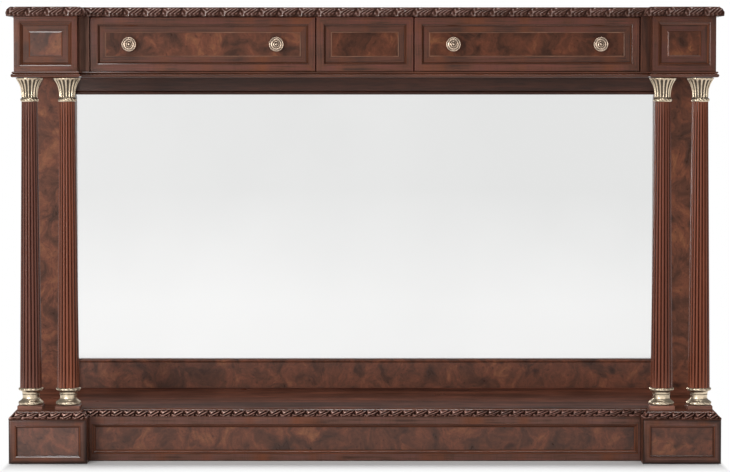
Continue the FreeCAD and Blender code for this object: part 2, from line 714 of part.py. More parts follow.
def column_capital(label):
    """Bell on a ring, with hollows cut along the bell that leave a ring of leaves."""
    body = new_body(label)
    neck, ring, height = d.capital_neck_radius, d.capital_ring_height, d.capital_height
    edge = height - d.capital_lip
    profile = [(TENON_BORE, ZERO), (neck, ZERO),
               (neck, ring, bulge_radius(ring, d.capital_ring_radius - neck)),
               (d.capital_top_radius, edge, -d.capital_bell_radius), (d.capital_top_radius, height),
               (TENON_BORE, height)]
    turn(body, draw(new_sketch(body, f"{label}_profile", "XZ_Plane"), profile))
    root = ring + d.leaf_root
    hollow = [(neck - d.leaf_gap_depth, root, d.capital_bell_radius), (d.capital_ring_radius, root),
              (d.capital_top_radius + d.leaf_gap_depth, height),
              (d.capital_top_radius - d.leaf_gap_depth, height)]
    gap = turn(body, draw(new_sketch(body, f"{label}_gap", "XZ_Plane"), hollow), "PartDesign::Groove")
    gap.setExpression("Angle", d.leaf_gap_angle.text)
    polar(body, gap, d.leaf_count)
    return body


def columns():
    plinths = []
    for label, x in column_places():
        plinths.append(place(column_plinth(f"{label}_plinth"), x, COLUMN_Y, Z_SHELF))
        keep(column_base(f"{label}_column_base"), x, COLUMN_Y, Z_FOOT)
        keep(column_shaft(f"{label}_column_shaft"), x, COLUMN_Y, Z_SHAFT)
        keep(column_capital(f"{label}_column_capital"), x, COLUMN_Y, Z_CAPITAL)
    keep_group("column_plinths", plinths)


# Base

def shelf():
    body = new_body("shelf")
    plan = draw(new_sketch(body, "shelf_plan", "XY_Plane"), base_plan(-d.base_moulding_width))
    pad(body, plan, d.shelf_thickness)
    tenon_holes(body, "shelf_bores", d.shelf_thickness)
    keep(body, ZERO, ZERO, d.base_height)


def base_moulding():
    inner, step = -d.base_moulding_width, d.shelf_thickness - d.base_moulding_fillet
    ledge = inner + d.base_moulding_ledge
    section = [(inner, ZERO), (inner, d.shelf_thickness), (ledge, d.shelf_thickness), (ledge, step),
               (ZERO, d.base_moulding_lip, -d.base_moulding_radius), (ZERO, ZERO)]
    moulding("base_moulding", base_plan(ZERO), d.base_height, section)


def front_corner(point):
    """Whether a point lies on an upright front corner of a base block, in the block's own place."""
    return near(point.y, ZERO) and near(abs(point.x), BASE_BLOCK_WIDTH / 2)


def base_fronts():
    for side, sign in SIDES:
        middle = (BASE_HALF + BASE_BLOCK_INNER) / 2 * sign
        size = BASE_BLOCK_WIDTH, d.base_height
        margins = d.base_block_margin, d.base_block_margin
        body = framed_front(f"{side}_base_block", *size, d.base_block_depth, *margins)
        fillet(body, body.Tip, d.base_block_ease, front_corner)
        keep(body, middle, BASE_FRONT, ZERO)
        ring = panel_moulding(f"{side}_base_block_moulding", *size, *margins, d.slim_moulding)
        keep(ring, middle, BASE_FRONT, ZERO)
    size = 2 * BASE_BLOCK_INNER, d.base_height
    margins = d.base_centre_side_margin, d.base_centre_edge_margin
    recess = BASE_FRONT + d.break_depth
    keep(framed_front("base_centre", *size, d.base_board_thickness, *margins), ZERO, recess, ZERO)
    ring = panel_moulding("base_centre_moulding", *size, *margins, d.broad_moulding)
    keep(ring, ZERO, recess, ZERO)


def base_boards():
    inner = BASE_HALF - d.base_board_thickness
    for side, sign in SIDES:
        low, high = mirrored(sign, inner, BASE_HALF)
        board(f"{side}_base_end", low, high, BASE_FRONT + d.base_block_depth, BACK, ZERO, d.base_height)
    board("base_back_rail", -inner, inner, BACK - d.base_board_thickness, BACK, ZERO, d.base_height)


# Back frame and mirror

REBATE = d.mirror_lap + d.mirror_room
LIP_BACK = BACK_FRAME_FRONT + d.mirror_lip


def back_stiles():
    for side, sign in SIDES:
        label = f"{side}_back_stile"
        body = new_body(label)
        low, high = mirrored(sign, SIGHT_HALF, HALF)
        plan = draw_box(new_sketch(body, f"{label}_plan", "XY_Plane"), low, high, BACK_FRAME_FRONT, BACK)
        pad(body, plan, Z_TOP - Z_SHELF)
        pilaster = new_sketch(body, f"{label}_pilaster", "XY_Plane")
        draw_box(pilaster, low, high, BACK_FRAME_FRONT - d.pilaster_depth, BACK_FRAME_FRONT)
        pad(body, pilaster, Z_SOFFIT - Z_SHELF)
        rebate = new_sketch(body, f"{label}_rebate", "YZ_Plane", SIGHT_HALF * sign)
        draw_box(rebate, LIP_BACK, BACK, Z_SIGHT_LOW - REBATE - Z_SHELF, Z_SIGHT_HIGH + REBATE - Z_SHELF)
        pocket(body, rebate, REBATE, reverse=sign > 0)
        keep(body, ZERO, ZERO, Z_SHELF)


def back_rail(label, section, level):
    """A rail between the stiles, from its section (y, z)."""
    body = new_body(label)
    outline = draw(new_sketch(body, f"{label}_section", "YZ_Plane", -SIGHT_HALF), section)
    pad(body, outline, 2 * SIGHT_HALF)
    keep(body, ZERO, ZERO, level)


def back_rails():
    front, height = BACK_FRAME_FRONT, d.back_rail_height
    bead = bulge_radius(d.back_bead_height, d.back_bead_projection)
    back_rail("back_bottom_rail",
              [(front, ZERO), (BACK, ZERO), (BACK, height - REBATE), (LIP_BACK, height - REBATE),
               (LIP_BACK, height), (front, height), (front, height - d.back_bead_height, bead)], Z_SHELF)
    height = Z_TOP - Z_SIGHT_HIGH
    back_rail("back_top_rail",
              [(front, ZERO, bead), (LIP_BACK, ZERO), (LIP_BACK, REBATE), (BACK, REBATE), (BACK, height),
               (front, height), (front, d.back_bead_height)], Z_SIGHT_HIGH)


def mirror():
    body = new_body("mirror_plate")
    half, height = SIGHT_HALF + d.mirror_lap, Z_SIGHT_HIGH - Z_SIGHT_LOW + 2 * d.mirror_lap
    inset = d.mirror_lap + d.mirror_bevel
    rim = new_sketch(body, "mirror_rim", "XZ_Plane", -d.mirror_bevel_drop)
    draw_box(rim, -half, half, ZERO, height)
    pad(body, rim, d.mirror_thickness - d.mirror_bevel_drop, reverse=True)
    flat = new_sketch(body, "mirror_flat", "XZ_Plane")
    draw_box(flat, -(half - inset), half - inset, inset, height - inset)
    bevel = body.newObject("PartDesign::AdditiveLoft", "mirror_bevelled")
    bevel.Profile = rim
    bevel.Sections = [flat]
    bevel.Ruled = True
    keep(body, ZERO, LIP_BACK, Z_SIGHT_LOW - d.mirror_lap)
    glass_back = LIP_BACK + d.mirror_thickness
    board("mirror_backing", -half, half, glass_back, glass_back + d.backing_thickness,
          Z_SIGHT_LOW - d.mirror_lap, Z_SIGHT_HIGH + d.mirror_lap)


def export():
    """Check every object and write each piece to its own file."""
    doc.recompute()
    for item in doc.Objects:
        if "Invalid" in item.State or "Error" in item.State:
            raise RuntimeError(f"{item.Name} failed: {item.State}")
    os.makedirs("parts", exist_ok=True)
    for piece in PIECES:
        if piece.Shape.isNull() or not piece.Shape.isValid():
            raise RuntimeError(f"{piece.Label} has no sound shape")
        piece.Shape.exportStep(f"parts/{piece.Label}.step")
        print(f"{piece.Label}: {len(piece.Shape.Solids)} solid(s), {piece.Shape.Volume:.0f} mm3")


top_board()
soffit_board()
frieze_bead()
frieze_blocks()
frieze_boards()
centre_front()
drawers()
columns()
shelf()
base_moulding()
base_fronts()
base_boards()
back_stiles()
back_rails()
mirror()
export()
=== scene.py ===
import math

import bmesh
import bpy
import numpy as np
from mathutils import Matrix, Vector


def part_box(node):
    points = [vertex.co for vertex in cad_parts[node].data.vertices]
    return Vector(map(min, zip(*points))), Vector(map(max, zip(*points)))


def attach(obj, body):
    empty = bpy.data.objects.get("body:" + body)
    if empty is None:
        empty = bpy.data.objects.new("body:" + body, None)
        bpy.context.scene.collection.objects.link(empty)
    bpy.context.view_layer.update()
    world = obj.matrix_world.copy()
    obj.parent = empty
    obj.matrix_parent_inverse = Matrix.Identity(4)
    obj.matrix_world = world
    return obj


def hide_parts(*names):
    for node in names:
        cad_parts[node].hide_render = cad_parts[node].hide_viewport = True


# A break-front pier table in mahogany and burl veneer: carved edges, sunk panels, reeded columns with
# cast brass capitals and bases, and a bevelled mirror. Shapes are worked out in millimetres in the
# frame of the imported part, and go into the meshes in metres.

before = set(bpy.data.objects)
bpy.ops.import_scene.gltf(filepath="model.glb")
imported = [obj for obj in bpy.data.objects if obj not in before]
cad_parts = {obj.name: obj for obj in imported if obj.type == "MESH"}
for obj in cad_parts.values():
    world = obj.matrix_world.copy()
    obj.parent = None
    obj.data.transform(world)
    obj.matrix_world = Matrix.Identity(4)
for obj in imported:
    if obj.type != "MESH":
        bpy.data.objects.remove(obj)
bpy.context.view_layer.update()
scene = bpy.context.scene

MM = 0.001
SIDES = ("left", "right")
# Distances in metres within which points are welded and slivers dropped
WELD, SLIVER = 2e-6, 1e-7
# Angles in degrees between two faces from which their edge stays sharp
CREASE, FLAT_CREASE, KNOB_CREASE, ROUND_CREASE = 38.0, 22.0, 50.0, 60.0
# A face with more corners than this is a closing plate, and is shaded flat
QUAD = 4
# Least divisor
TINY = 1e-6


def span(node):
    """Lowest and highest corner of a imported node, in millimetres."""
    low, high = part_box(node)
    return np.array(low) / MM, np.array(high) / MM


# Meshes

def put(name, content):
    """A new object in the scene."""
    thing = bpy.data.objects.new(name, content)
    scene.collection.objects.link(thing)
    return thing


class Sheet:
    """A grid of points with its own flat coordinates, a hollow value and a finish number."""

    def __init__(self, points, flat=None, hollow=None, finish=0):
        rows, cols = points.shape[:2]
        self.points = points
        self.flat = np.zeros((rows, cols, 2)) if flat is None else flat
        self.hollow = np.zeros((rows, cols)) if hollow is None else hollow
        self.finish = finish

    def faces(self, first):
        """Quads between neighbouring grid points, numbered from the given vertex."""
        rows, cols = self.points.shape[:2]
        corner = first + np.arange(rows - 1)[:, None] * cols + np.arange(cols - 1)[None, :]
        return np.stack([corner, corner + 1, corner + cols + 1, corner + cols], -1).reshape(-1, 4)


def flat_plate(corners, finish=0, flat=None):
    """A four-sided plate between corners given in turn: the grid is two points by two."""
    corners = np.array(corners, float)
    return Sheet(corners[[0, 1, 3, 2]].reshape(2, 2, 3), flat, finish=finish)


def fan(ring, finish=0):
    """A cap that fans a ring of points to its middle."""
    return Sheet(np.stack([ring, np.broadcast_to(ring.mean(0), ring.shape)]), finish=finish)


def make_piece(name, sheets, finishes, body="table", replaces=(), crease=CREASE, plates=None):
    """Join sheets into one closed mesh, weld their seams, turn the faces outward and fit the finishes. Plates
    is the finish number of flat plates that close the rims left open."""
    firsts = np.cumsum([0] + [sheet.hollow.size for sheet in sheets])
    points = np.concatenate([sheet.points.reshape(-1, 3) for sheet in sheets]) * MM
    faces = np.concatenate([sheet.faces(first) for sheet, first in zip(sheets, firsts)])
    flats = np.concatenate([sheet.flat.reshape(-1, 2) for sheet in sheets])
    hollows = np.concatenate([sheet.hollow.ravel() for sheet in sheets])
    numbers = np.concatenate([np.full(sheet.faces(0).shape[0], sheet.finish) for sheet in sheets])
    mesh = bpy.data.meshes.new(name)
    mesh.from_pydata(points, [], faces)
    mesh.uv_layers.new(name="run")
    mesh.uv_layers["run"].data.foreach_set("uv", flats[faces.ravel()].astype(np.float32).ravel())
    mesh.attributes.new("hollow", "FLOAT", "POINT").data.foreach_set("value", hollows.astype(np.float32))
    mesh.polygons.foreach_set("material_index", numbers.astype(np.int32))
    shell = bmesh.new()
    shell.from_mesh(mesh)
    bmesh.ops.remove_doubles(shell, verts=shell.verts, dist=WELD)
    bmesh.ops.dissolve_degenerate(shell, edges=shell.edges, dist=SLIVER)
    if plates is not None:
        rims = [edge for edge in shell.edges if edge.is_boundary]
        for plate in bmesh.ops.holes_fill(shell, edges=rims, sides=0)["faces"]:
            plate.material_index = plates
    bmesh.ops.recalc_face_normals(shell, faces=shell.faces)
    shell.to_mesh(mesh)
    shell.free()
    mesh.set_sharp_from_angle(angle=math.radians(crease))
    sides = np.empty(len(mesh.polygons), np.int32)
    mesh.polygons.foreach_get("loop_total", sides)
    mesh.polygons.foreach_set("use_smooth", sides <= QUAD)
    for finish in finishes:
        mesh.materials.append(finish)
    piece = put(name, mesh)
    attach(piece, body)
    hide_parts(*replaces)
    return piece


def arc(centre, radius, start, end, count):
    """Points (out, up) on a circle between two angles in degrees."""
    angle = np.radians(np.linspace(start, end, count))
    return np.stack([centre[0] + radius * np.cos(angle), centre[1] + radius * np.sin(angle)], -1)


def held(value):
    """A value held between 0 and 1."""
    return np.clip(value, 0, 1)


def hump(value):
    """A round rise between -1 and 1, of height 1."""
    return held(1 - value ** 2)


def ridge(value):
    """A narrow bell of height 1 round 0."""
    return np.exp(-value ** 2)


def along(profile):
    """Distance along a profile at each of its points."""
    steps = np.linalg.norm(np.diff(profile, axis=0), axis=1)
    return np.concatenate([[0], np.cumsum(steps)])


def outward(profile):
    """Unit normals of a profile (out, up): its tangent turned by a right angle to the right."""
    tangent = np.gradient(profile, axis=0)
    tangent /= np.maximum(np.linalg.norm(tangent, axis=1, keepdims=True), TINY)
    return np.stack([tangent[:, 1], -tangent[:, 0]], -1)


# Finishes

class Nodes:
    """Short calls for the nodes that the finishes and the world share."""

    def __init__(self, tree):
        self.tree = tree

    def node(self, kind, values=None, **settings):
        """Add a node, set its fields, and fill or link its sockets."""
        made = self.tree.nodes.new(kind)
        for key, value in settings.items():
            setattr(made, key, value)
        for key, value in (values or {}).items():
            self.feed(made.inputs[key], value)
        return made

    def feed(self, socket, value):
        """Link an output to a socket, or set the socket's own value."""
        if isinstance(value, bpy.types.NodeSocket):
            self.tree.links.new(value, socket)
        else:
            socket.default_value = value

    def level(self, value, low, high, from_low=0.0, from_high=1.0, way="LINEAR"):
        """Map a value from one range to another, held inside it."""
        values = {"Value": value, "From Min": from_low, "From Max": from_high, "To Min": low, "To Max": high}
        return self.node("ShaderNodeMapRange", values, interpolation_type=way).outputs["Result"]

    def sums(self, operation, first, second):
        """One step of arithmetic on two values."""
        return self.node("ShaderNodeMath", {0: first, 1: second}, operation=operation).outputs[0]

    def axes(self, vector):
        """The X, Y and Z of a vector, by name."""
        return self.node("ShaderNodeSeparateXYZ", {0: vector}).outputs


class Finish(Nodes):
    """A node material."""

    # Numbers of the mix node's sockets for two colours and for their blend
    FIRST, SECOND, BLEND = 6, 7, 2

    def __init__(self, name):
        self.material = bpy.data.materials.new(name)
        self.material.use_nodes = True
        super().__init__(self.material.node_tree)
        self.shader = self.tree.nodes["Principled BSDF"]

    def coat(self, colour, rough, sheen=0.5, **values):
        """Set or link the shader's sockets. Sheen is its specular level."""
        values |= {"Base_Color": colour, "Roughness": rough, "Specular_IOR_Level": sheen}
        for key, value in values.items():
            self.feed(self.shader.inputs[key.replace("_", " ")], value)
        return self.material

    def place(self, scale=(1, 1, 1), shift=(0, 0, 0), run=False):
        """Coordinates for a pattern: the object's own, or the piece's own run along its edges."""
        source = self.node("ShaderNodeTexCoord").outputs["UV" if run else "Object"]
        values = {"Vector": source, "Scale": scale, "Location": shift}
        return self.node("ShaderNodeMapping", values).outputs["Vector"]

    def noise(self, vector, scale, detail, roughness=0.55, distortion=0.0, part="Fac"):
        """Noise as a factor, or as a colour."""
        values = {"Vector": vector, "Scale": scale, "Detail": detail, "Roughness": roughness,
                  "Distortion": distortion}
        return self.node("ShaderNodeTexNoise", values).outputs[part]

    def spots(self, vector, scale):
        """Distance to the nearest of scattered points."""
        values = {"Vector": vector, "Scale": scale, "Randomness": 1.0}
        return self.node("ShaderNodeTexVoronoi", values).outputs["Distance"]

    def ramp(self, factor, stops):
        """Colour ramp through (position, colour) stops."""
        made = self.node("ShaderNodeValToRGB", {"Fac": factor})
        band = made.color_ramp
        while len(band.elements) < len(stops):
            band.elements.new(0.5)
        for element, (position, colour) in zip(band.elements, stops):
            element.position = position
            element.color = (*colour, 1)
        return made.outputs["Color"]

    def mix(self, factor, first, second):
        """Blend from a first colour to a second one, each a tone or an output."""
        made = self.node("ShaderNodeMix", {"Factor": factor}, data_type="RGBA")
        for socket, colour in ((self.FIRST, first), (self.SECOND, second)):
            linked = isinstance(colour, bpy.types.NodeSocket)
            self.feed(made.inputs[socket], colour if linked else (*colour, 1))
        return made.outputs[self.BLEND]

    def hollow(self):
        """The hollow value kept on the mesh: 0 on a crest, 1 in the depth of a cut."""
        return self.node("ShaderNodeAttribute", attribute_name="hollow").outputs["Fac"]

    def bump(self, height, strength, distance=0.0002):
        """Normal that follows a fine height, with the distance in metres."""
        values = {"Height": height, "Strength": strength, "Distance": distance}
        return self.node("ShaderNodeBump", values).outputs["Normal"]


# Tones of the polished wood, and how strongly it reflects
PORE = (0.012, 0.005, 0.003)
SHADE = (0.044, 0.017, 0.010)
BODY = (0.100, 0.035, 0.019)
RED = (0.152, 0.048, 0.025)
PLUM = (0.118, 0.037, 0.027)
WARM = (0.150, 0.042, 0.014)
AMBER = (0.222, 0.082, 0.037)
POLISH = 0.18
# How far noise bends the figure of burl, in metres
WARP = (0.09, 0.09, 0.09)


def lifted(lift, *tones):
    """Tones made lighter or darker by one factor, or by one for each channel."""
    return [tuple(np.multiply(tone, lift)) for tone in tones]


def burl_veneer(name, shift=(0, 0, 0), lift=1.0, sheen=POLISH, matt=0.27):
    """Burl: blotches and swirls from noise on warped coordinates, with dark knots and small eyes. Lift
    lightens it, and matt is its least roughness."""
    shade, body, red, amber = lifted(lift, SHADE, BODY, RED, AMBER)
    f = Finish(name)
    spot = f.place(shift=shift)
    drift = f.noise(spot, 9.0, 3.0, part="Color")
    drift = f.node("ShaderNodeVectorMath", {0: drift, 1: WARP}, operation="MULTIPLY")
    warped = f.node("ShaderNodeVectorMath", {0: spot, 1: drift.outputs[0]}, operation="ADD").outputs[0]
    blotch = f.noise(warped, 20.0, 4.0, 0.58, 0.75)
    colour = f.ramp(blotch, [(0.33, shade), (0.46, body), (0.57, red), (0.70, amber)])
    swirl = f.node("ShaderNodeTexWave", {"Vector": warped, "Scale": 16.0, "Distortion": 14.0, "Detail": 4.0,
                                         "Detail Scale": 2.2, "Detail Roughness": 0.6}).outputs["Fac"]
    colour = f.mix(f.level(swirl, 0.0, 0.32), colour, shade)
    knots, eyes = f.spots(warped, 15.0), f.spots(warped, 75.0)
    colour = f.mix(f.level(knots, 0.75, 0.0, 0.04, 0.20), colour, PORE)
    colour = f.mix(f.level(eyes, 0.55, 0.0, 0.04, 0.20), colour, PORE)
    fibre = f.noise(spot, 420.0, 3.0, 0.6)
    colour = f.mix(f.level(fibre, 0.22, 0.0, 0.35, 0.60), colour, PORE)
    rough = f.level(blotch, matt, matt + 0.10, 0.3, 0.7)
    return f.coat(colour, rough, sheen, Normal=f.bump(fibre, 0.10))


def crossband_veneer(name, stops, lift=1.0):
    """Banding of frames: leaves of redder and browner veneer laid end to end, long streaks of colour, fine
    grain across the band, and rims darkened as painted shade. Lift lightens it."""
    stops = [(place, *lifted(lift, tone)) for place, tone in stops]
    f = Finish(name)
    grain = f.noise(f.place(scale=(330, 16, 1), run=True), 1.0, 5.0, 0.6)
    streak = f.noise(f.place(scale=(9, 210, 1), run=True), 1.0, 4.0, 0.6, 0.3)
    cloud = f.noise(f.place(), 16.0, 4.0)
    tone = f.sums("ADD", f.level(streak, 0.0, 0.6, 0.32, 0.68), f.level(cloud, 0.0, 0.4, 0.32, 0.68))
    base = f.ramp(tone, stops)
    leaves = f.noise(f.place(scale=(11, 2, 1), run=True), 1.0, 2.0, 0.6)
    base = f.mix(f.level(leaves, 0.0, 0.75, 0.50, 0.68), base, *lifted(lift, WARM))
    colour = f.mix(f.level(grain, 0.0, 0.35, 0.50, 0.80), base, PORE)
    # Painted shade: rims of the fronts darken towards black
    colour = f.mix(f.level(f.hollow(), 0.0, 0.85), colour, PORE)
    rough = f.level(grain, 0.28, 0.40)
    return f.coat(colour, rough, 0.24, Normal=f.bump(grain, 0.08))


def long_grain(name, scale, tint=BODY, light=RED, run=False, sheen=POLISH):
    """Straight mahogany grain: noise drawn out along one direction, with finer pores over it."""
    f = Finish(name)
    figure = f.noise(f.place(scale=scale, run=run), 1.0, 5.0, 0.6, 0.6)
    fine = tuple(size * 7 for size in scale)
    pores = f.noise(f.place(scale=fine, run=run), 1.0, 3.0, 0.6)
    cloud = f.noise(f.place(), 7.0, 3.0)
    base = f.ramp(figure, [(0.30, SHADE), (0.50, tint), (0.68, light)])
    base = f.mix(f.level(cloud, 0.0, 0.5, 0.40, 0.70), base, SHADE)
    colour = f.mix(f.level(pores, 0.6, 0.0, 0.30, 0.52), base, PORE)
    rough = f.level(cloud, 0.27, 0.38, 0.3, 0.7)
    return f.coat(colour, rough, sheen, Normal=f.bump(pores, 0.08))


def moulded_wood(name, sheen, lift=1.0):
    """Mouldings: grain along the run, a high polish on the rounds, and dark wax with painted shade in the
    quirks. Lift lightens the wood."""
    shade, body, red = lifted(lift, SHADE, BODY, RED)
    f = Finish(name)
    figure = f.noise(f.place(scale=(6, 260, 1), run=True), 1.0, 5.0, 0.6, 0.6)
    cloud = f.noise(f.place(), 12.0, 3.0)
    base = f.ramp(figure, [(0.30, shade), (0.50, body), (0.68, red)])
    base = f.mix(f.level(cloud, 0.1, 0.6, 0.40, 0.70), base, shade)
    cut = f.hollow()
    # Painted shade with dark wax: the quirks darken almost to black
    colour = f.mix(f.level(cut, 0.0, 0.95), base, PORE)
    rough = f.sums("ADD", f.level(cloud, 0.08, 0.15, 0.3, 0.7), f.level(cut, 0.0, 0.4))
    return f.coat(colour, rough, f.level(cut, sheen, 0.0), Normal=f.bump(figure, 0.05))


def worked_wood(name, scale, dark_from, sheen, run=False, low=SHADE, middle=BODY, crest=RED, depth=PORE,
                wear_and_highlight=None, fade=1.0):
    """Carved and reeded mahogany: dark polish and painted shade in the hollows, and crests lighter from wear
    and a painted highlight. Fade is the share of that lightening left at the right end of the table, as
    painted light that falls from the left."""
    f = Finish(name)
    grain = f.noise(f.place(scale=scale, run=run), 1.0, 5.0, 0.6, 0.4)
    base = f.ramp(grain, [(0.30, low), (0.52, middle), (0.70, crest)])
    cut = f.hollow()
    # Crests lightened by wear and a painted highlight; this painted light fades towards the right end
    if wear_and_highlight:
        left = f.level(f.axes(f.place())["X"], 1.0, fade, -0.45, 0.45)
        worn = f.sums("MULTIPLY", f.level(cut, 0.8, 0.0, 0.0, 0.20), left)
        base = f.mix(worn, base, wear_and_highlight)
    # Dark polish and painted shade in the cuts, broken up by noise
    polish_and_shade_noise = f.noise(f.place(), 160.0, 3.0)
    cut = f.sums("MULTIPLY", cut, f.level(polish_and_shade_noise, 0.75, 1.0, 0.3, 0.6))
    colour = f.mix(f.level(cut, 0.0, 0.98, *dark_from), base, depth)
    return f.coat(colour, f.level(cut, 0.20, 0.60),
                  f.level(cut, sheen, 0.0, 0.0, 0.4), Normal=f.bump(grain, 0.06))


def old_brass(name, bright, dark, polish):
    """Lacquered cast brass with brown wax left in its hollows and a mottled sheen."""
    f = Finish(name)
    mottle = f.noise(f.place(), 95.0, 4.0, 0.6)
    speck = f.noise(f.place(), 520.0, 3.0, 0.6)
    cut = f.level(f.hollow(), 0.0, 1.0, 0.10, 0.80)
    worn = f.mix(f.level(mottle, 0.0, 0.35, 0.45, 0.75), bright, dark)
    colour = f.mix(f.sums("MULTIPLY", cut, f.level(speck, 0.85, 1.0, 0.3, 0.6)), worn, dark)
    rough = f.sums("ADD", f.level(mottle, polish, polish + 0.14, 0.3, 0.7), f.level(cut, 0.0, 0.25))
    return f.coat(colour, rough, Metallic=f.level(cut, 1.0, 0.35), Normal=f.bump(speck, 0.10))


def silvered_glass(name):
    """Old plate mirror: silver under glass, greyed a little towards its upper and right parts as painted
    reflection.
    """
    f = Finish(name)
    haze = f.noise(f.place(), 2.6, 3.0)
    axes = f.axes(f.place())
    # Painted reflection: greyer towards the top and the right
    reflection_grey = f.sums("ADD", f.level(axes["Z"], 0.0, 0.75, 0.30, 0.56), f.level(axes["X"], 0.0, 0.35, -0.6, 0.6))
    reflection_grey = f.sums("ADD", reflection_grey, f.level(haze, -0.1, 0.1, 0.3, 0.7))
    colour = f.ramp(reflection_grey, [(0.0, (0.925, 0.925, 0.92)), (1.0, (0.775, 0.78, 0.775))])
    return f.coat(colour, f.level(haze, 0.06, 0.10, 0.3, 0.7), Metallic=1.0)


def plain_timber(name, scale):
    """Pale secondary timber of drawer linings and hidden boards, with straight grain along one direction."""
    f = Finish(name)
    figure = f.noise(f.place(scale=scale), 1.0, 5.0, 0.6, 0.5)
    fine = tuple(size * 6 for size in scale)
    pores = f.noise(f.place(scale=fine), 1.0, 3.0)
    base = f.ramp(figure, [(0.30, (0.26, 0.148, 0.076)), (0.70, (0.46, 0.29, 0.16))])
    colour = f.mix(f.level(pores, 0.45, 0.0, 0.30, 0.55), base, (0.13, 0.068, 0.034))
    return f.coat(colour, f.level(figure, 0.50, 0.64), 0.35, Normal=f.bump(pores, 0.12, 0.0003))


# Lighter burl copies on the left and a darker one on the right are painted light and painted shade
BURL_LEFT = burl_veneer("burl_left", lift=1.02)
BURL_LEFT_BLOCK_LIT = burl_veneer("burl_left_block_lit", (0.2, 0.6, 0.9), 1.05, 0.30, 0.40)
BURL_RIGHT_SHADED = burl_veneer("burl_right_shaded", lift=0.86, sheen=0.12)
BURL_BASE = burl_veneer("burl_base", (1.3, 0.4, 2.2), 1.02, 0.34)
BURL_BASE_LEFT_LIT = burl_veneer("burl_base_left_lit", (1.3, 0.4, 2.2), 1.10, 0.50)
BURL_STILE = burl_veneer("burl_stiles", (3.1, 1.7, 0.4), 1.30)
BURL_RAIL = burl_veneer("burl_rail", (0.7, 2.9, 1.4), 1.36, 0.40)
BAND_STOPS = [(0.14, SHADE), (0.43, BODY), (0.68, PLUM), (0.90, RED)]
CROSSBAND = crossband_veneer("crossband_frames", BAND_STOPS)
BASE_STOPS = [(0.14, SHADE), (0.43, (0.098, 0.042, 0.027)), (0.68, (0.118, 0.048, 0.037)),
              (0.90, (0.146, 0.060, 0.037))]
CROSSBAND_BASE = crossband_veneer("crossband_base", BASE_STOPS)
# A darker copy of the banding for the right block, as painted shade
CROSSBAND_RIGHT_SHADED = crossband_veneer("crossband_right_shaded", BAND_STOPS, 0.72)
CROSSBAND_DARK = crossband_veneer("crossband_inner", [(0.18, SHADE), (0.55, BODY), (0.92, PLUM)], 0.93)
STRINGING = long_grain("stringing_line", (8, 300, 1), (0.24, 0.115, 0.070), (0.36, 0.20, 0.13), run=True)
MOULDED = moulded_wood("moulded_edges", 0.6)
BEADED = moulded_wood("moulded_bead", 0.34)
UPRIGHT = moulded_wood("moulded_uprights", 0.09, 1.35)
GRAIN_X = long_grain("mahogany_long", (3, 70, 70))
SHELF = long_grain("mahogany_shelf", (2.2, 20, 20), (0.172, 0.060, 0.036), (0.30, 0.098, 0.054), sheen=0.01)
PLINTH = long_grain("mahogany_plinths", (3, 70, 70), (0.28, 0.122, 0.084), (0.36, 0.150, 0.100))
GRAIN_Y = long_grain("mahogany_deep", (70, 3, 70))
# Darker tones for the soffit and the rail under the frieze, as painted shade
SHADED_SOFFIT_TONES = (0.074, 0.027, 0.016), (0.108, 0.036, 0.021)
GRAIN_SOFFIT = long_grain("mahogany_soffit", (3, 70, 70), *SHADED_SOFFIT_TONES, sheen=0.0)
GRAIN_RAIL = long_grain("mahogany_rail", (3, 70, 70), *SHADED_SOFFIT_TONES, sheen=0.36)
# The left guide's edge is a lighter copy, painted light in the shadow of the block
GUIDES = {"left": long_grain("mahogany_left_edge_lit", (70, 70, 3), (0.28, 0.135, 0.094), (0.38, 0.18, 0.13)),
          "right": long_grain("mahogany_right_edge", (70, 70, 3))}
# Carvings: pale crests are wear and a painted highlight, lighter on the left as painted light
CARVED = worked_wood("mahogany_carved", (10, 200, 1), (0.15, 0.85), 0.45, run=True, low=(0.044, 0.020, 0.014),
                     middle=(0.098, 0.043, 0.030), crest=(0.17, 0.082, 0.068), depth=(0.020, 0.010, 0.008),
                     wear_and_highlight=(0.31, 0.22, 0.19), fade=0.45)
CARVED_FOOT = worked_wood("mahogany_carved_foot", (10, 200, 1), (0.08, 0.56), 0.7, run=True,
                          middle=(0.195, 0.074, 0.050), crest=(0.40, 0.176, 0.138),
                          depth=(0.017, 0.008, 0.006), wear_and_highlight=(0.92, 0.63, 0.53), fade=0.25)
# The lightest reed tone is wear and a painted highlight on the crests
REED_TONES = {"low": (0.070, 0.021, 0.013), "middle": (0.117, 0.033, 0.019), "crest": (0.195, 0.055, 0.030),
              "wear_and_highlight": (0.21, 0.074, 0.047)}
# Each column's tint makes it lighter or darker, as painted light and shade
REED_LIGHT_TINTS = {"left_outer": (0.79, 0.93, 1.05), "left_inner": (1.09, 1.07, 0.96),
              "right_outer": (1.14, 1.04, 0.88), "right_inner": (0.96, 0.93, 0.88)}
REEDED = {}
for column, tint in REED_LIGHT_TINTS.items():
    tones = dict(zip(REED_TONES, lifted(tint, *REED_TONES.values())))
    REEDED[column] = worked_wood(f"mahogany_reeded_{column}", (120, 120, 3), (0.05, 0.52), 0.10,
                                 depth=(0.014, 0.005, 0.004), **tones)
BRASS = old_brass("brass_cast", (0.74, 0.60, 0.43), (0.040, 0.026, 0.014), 0.24)
BRASS_FOOT = old_brass("brass_foot", (0.80, 0.66, 0.48), (0.034, 0.022, 0.013), 0.30)
KNOB_BRASS = old_brass("brass_turned", (0.56, 0.43, 0.33), (0.046, 0.028, 0.018), 0.27)
MIRROR = silvered_glass("mirror_silver")
TIMBER = plain_timber("lining_deep", (60, 3, 60))
TIMBER_X = plain_timber("lining_long", (2.5, 45, 45))


# Break-front edges

# Angles between which the polished slopes of mouldings turn, so that they catch the light from above
TURN = np.radians([37, 45])
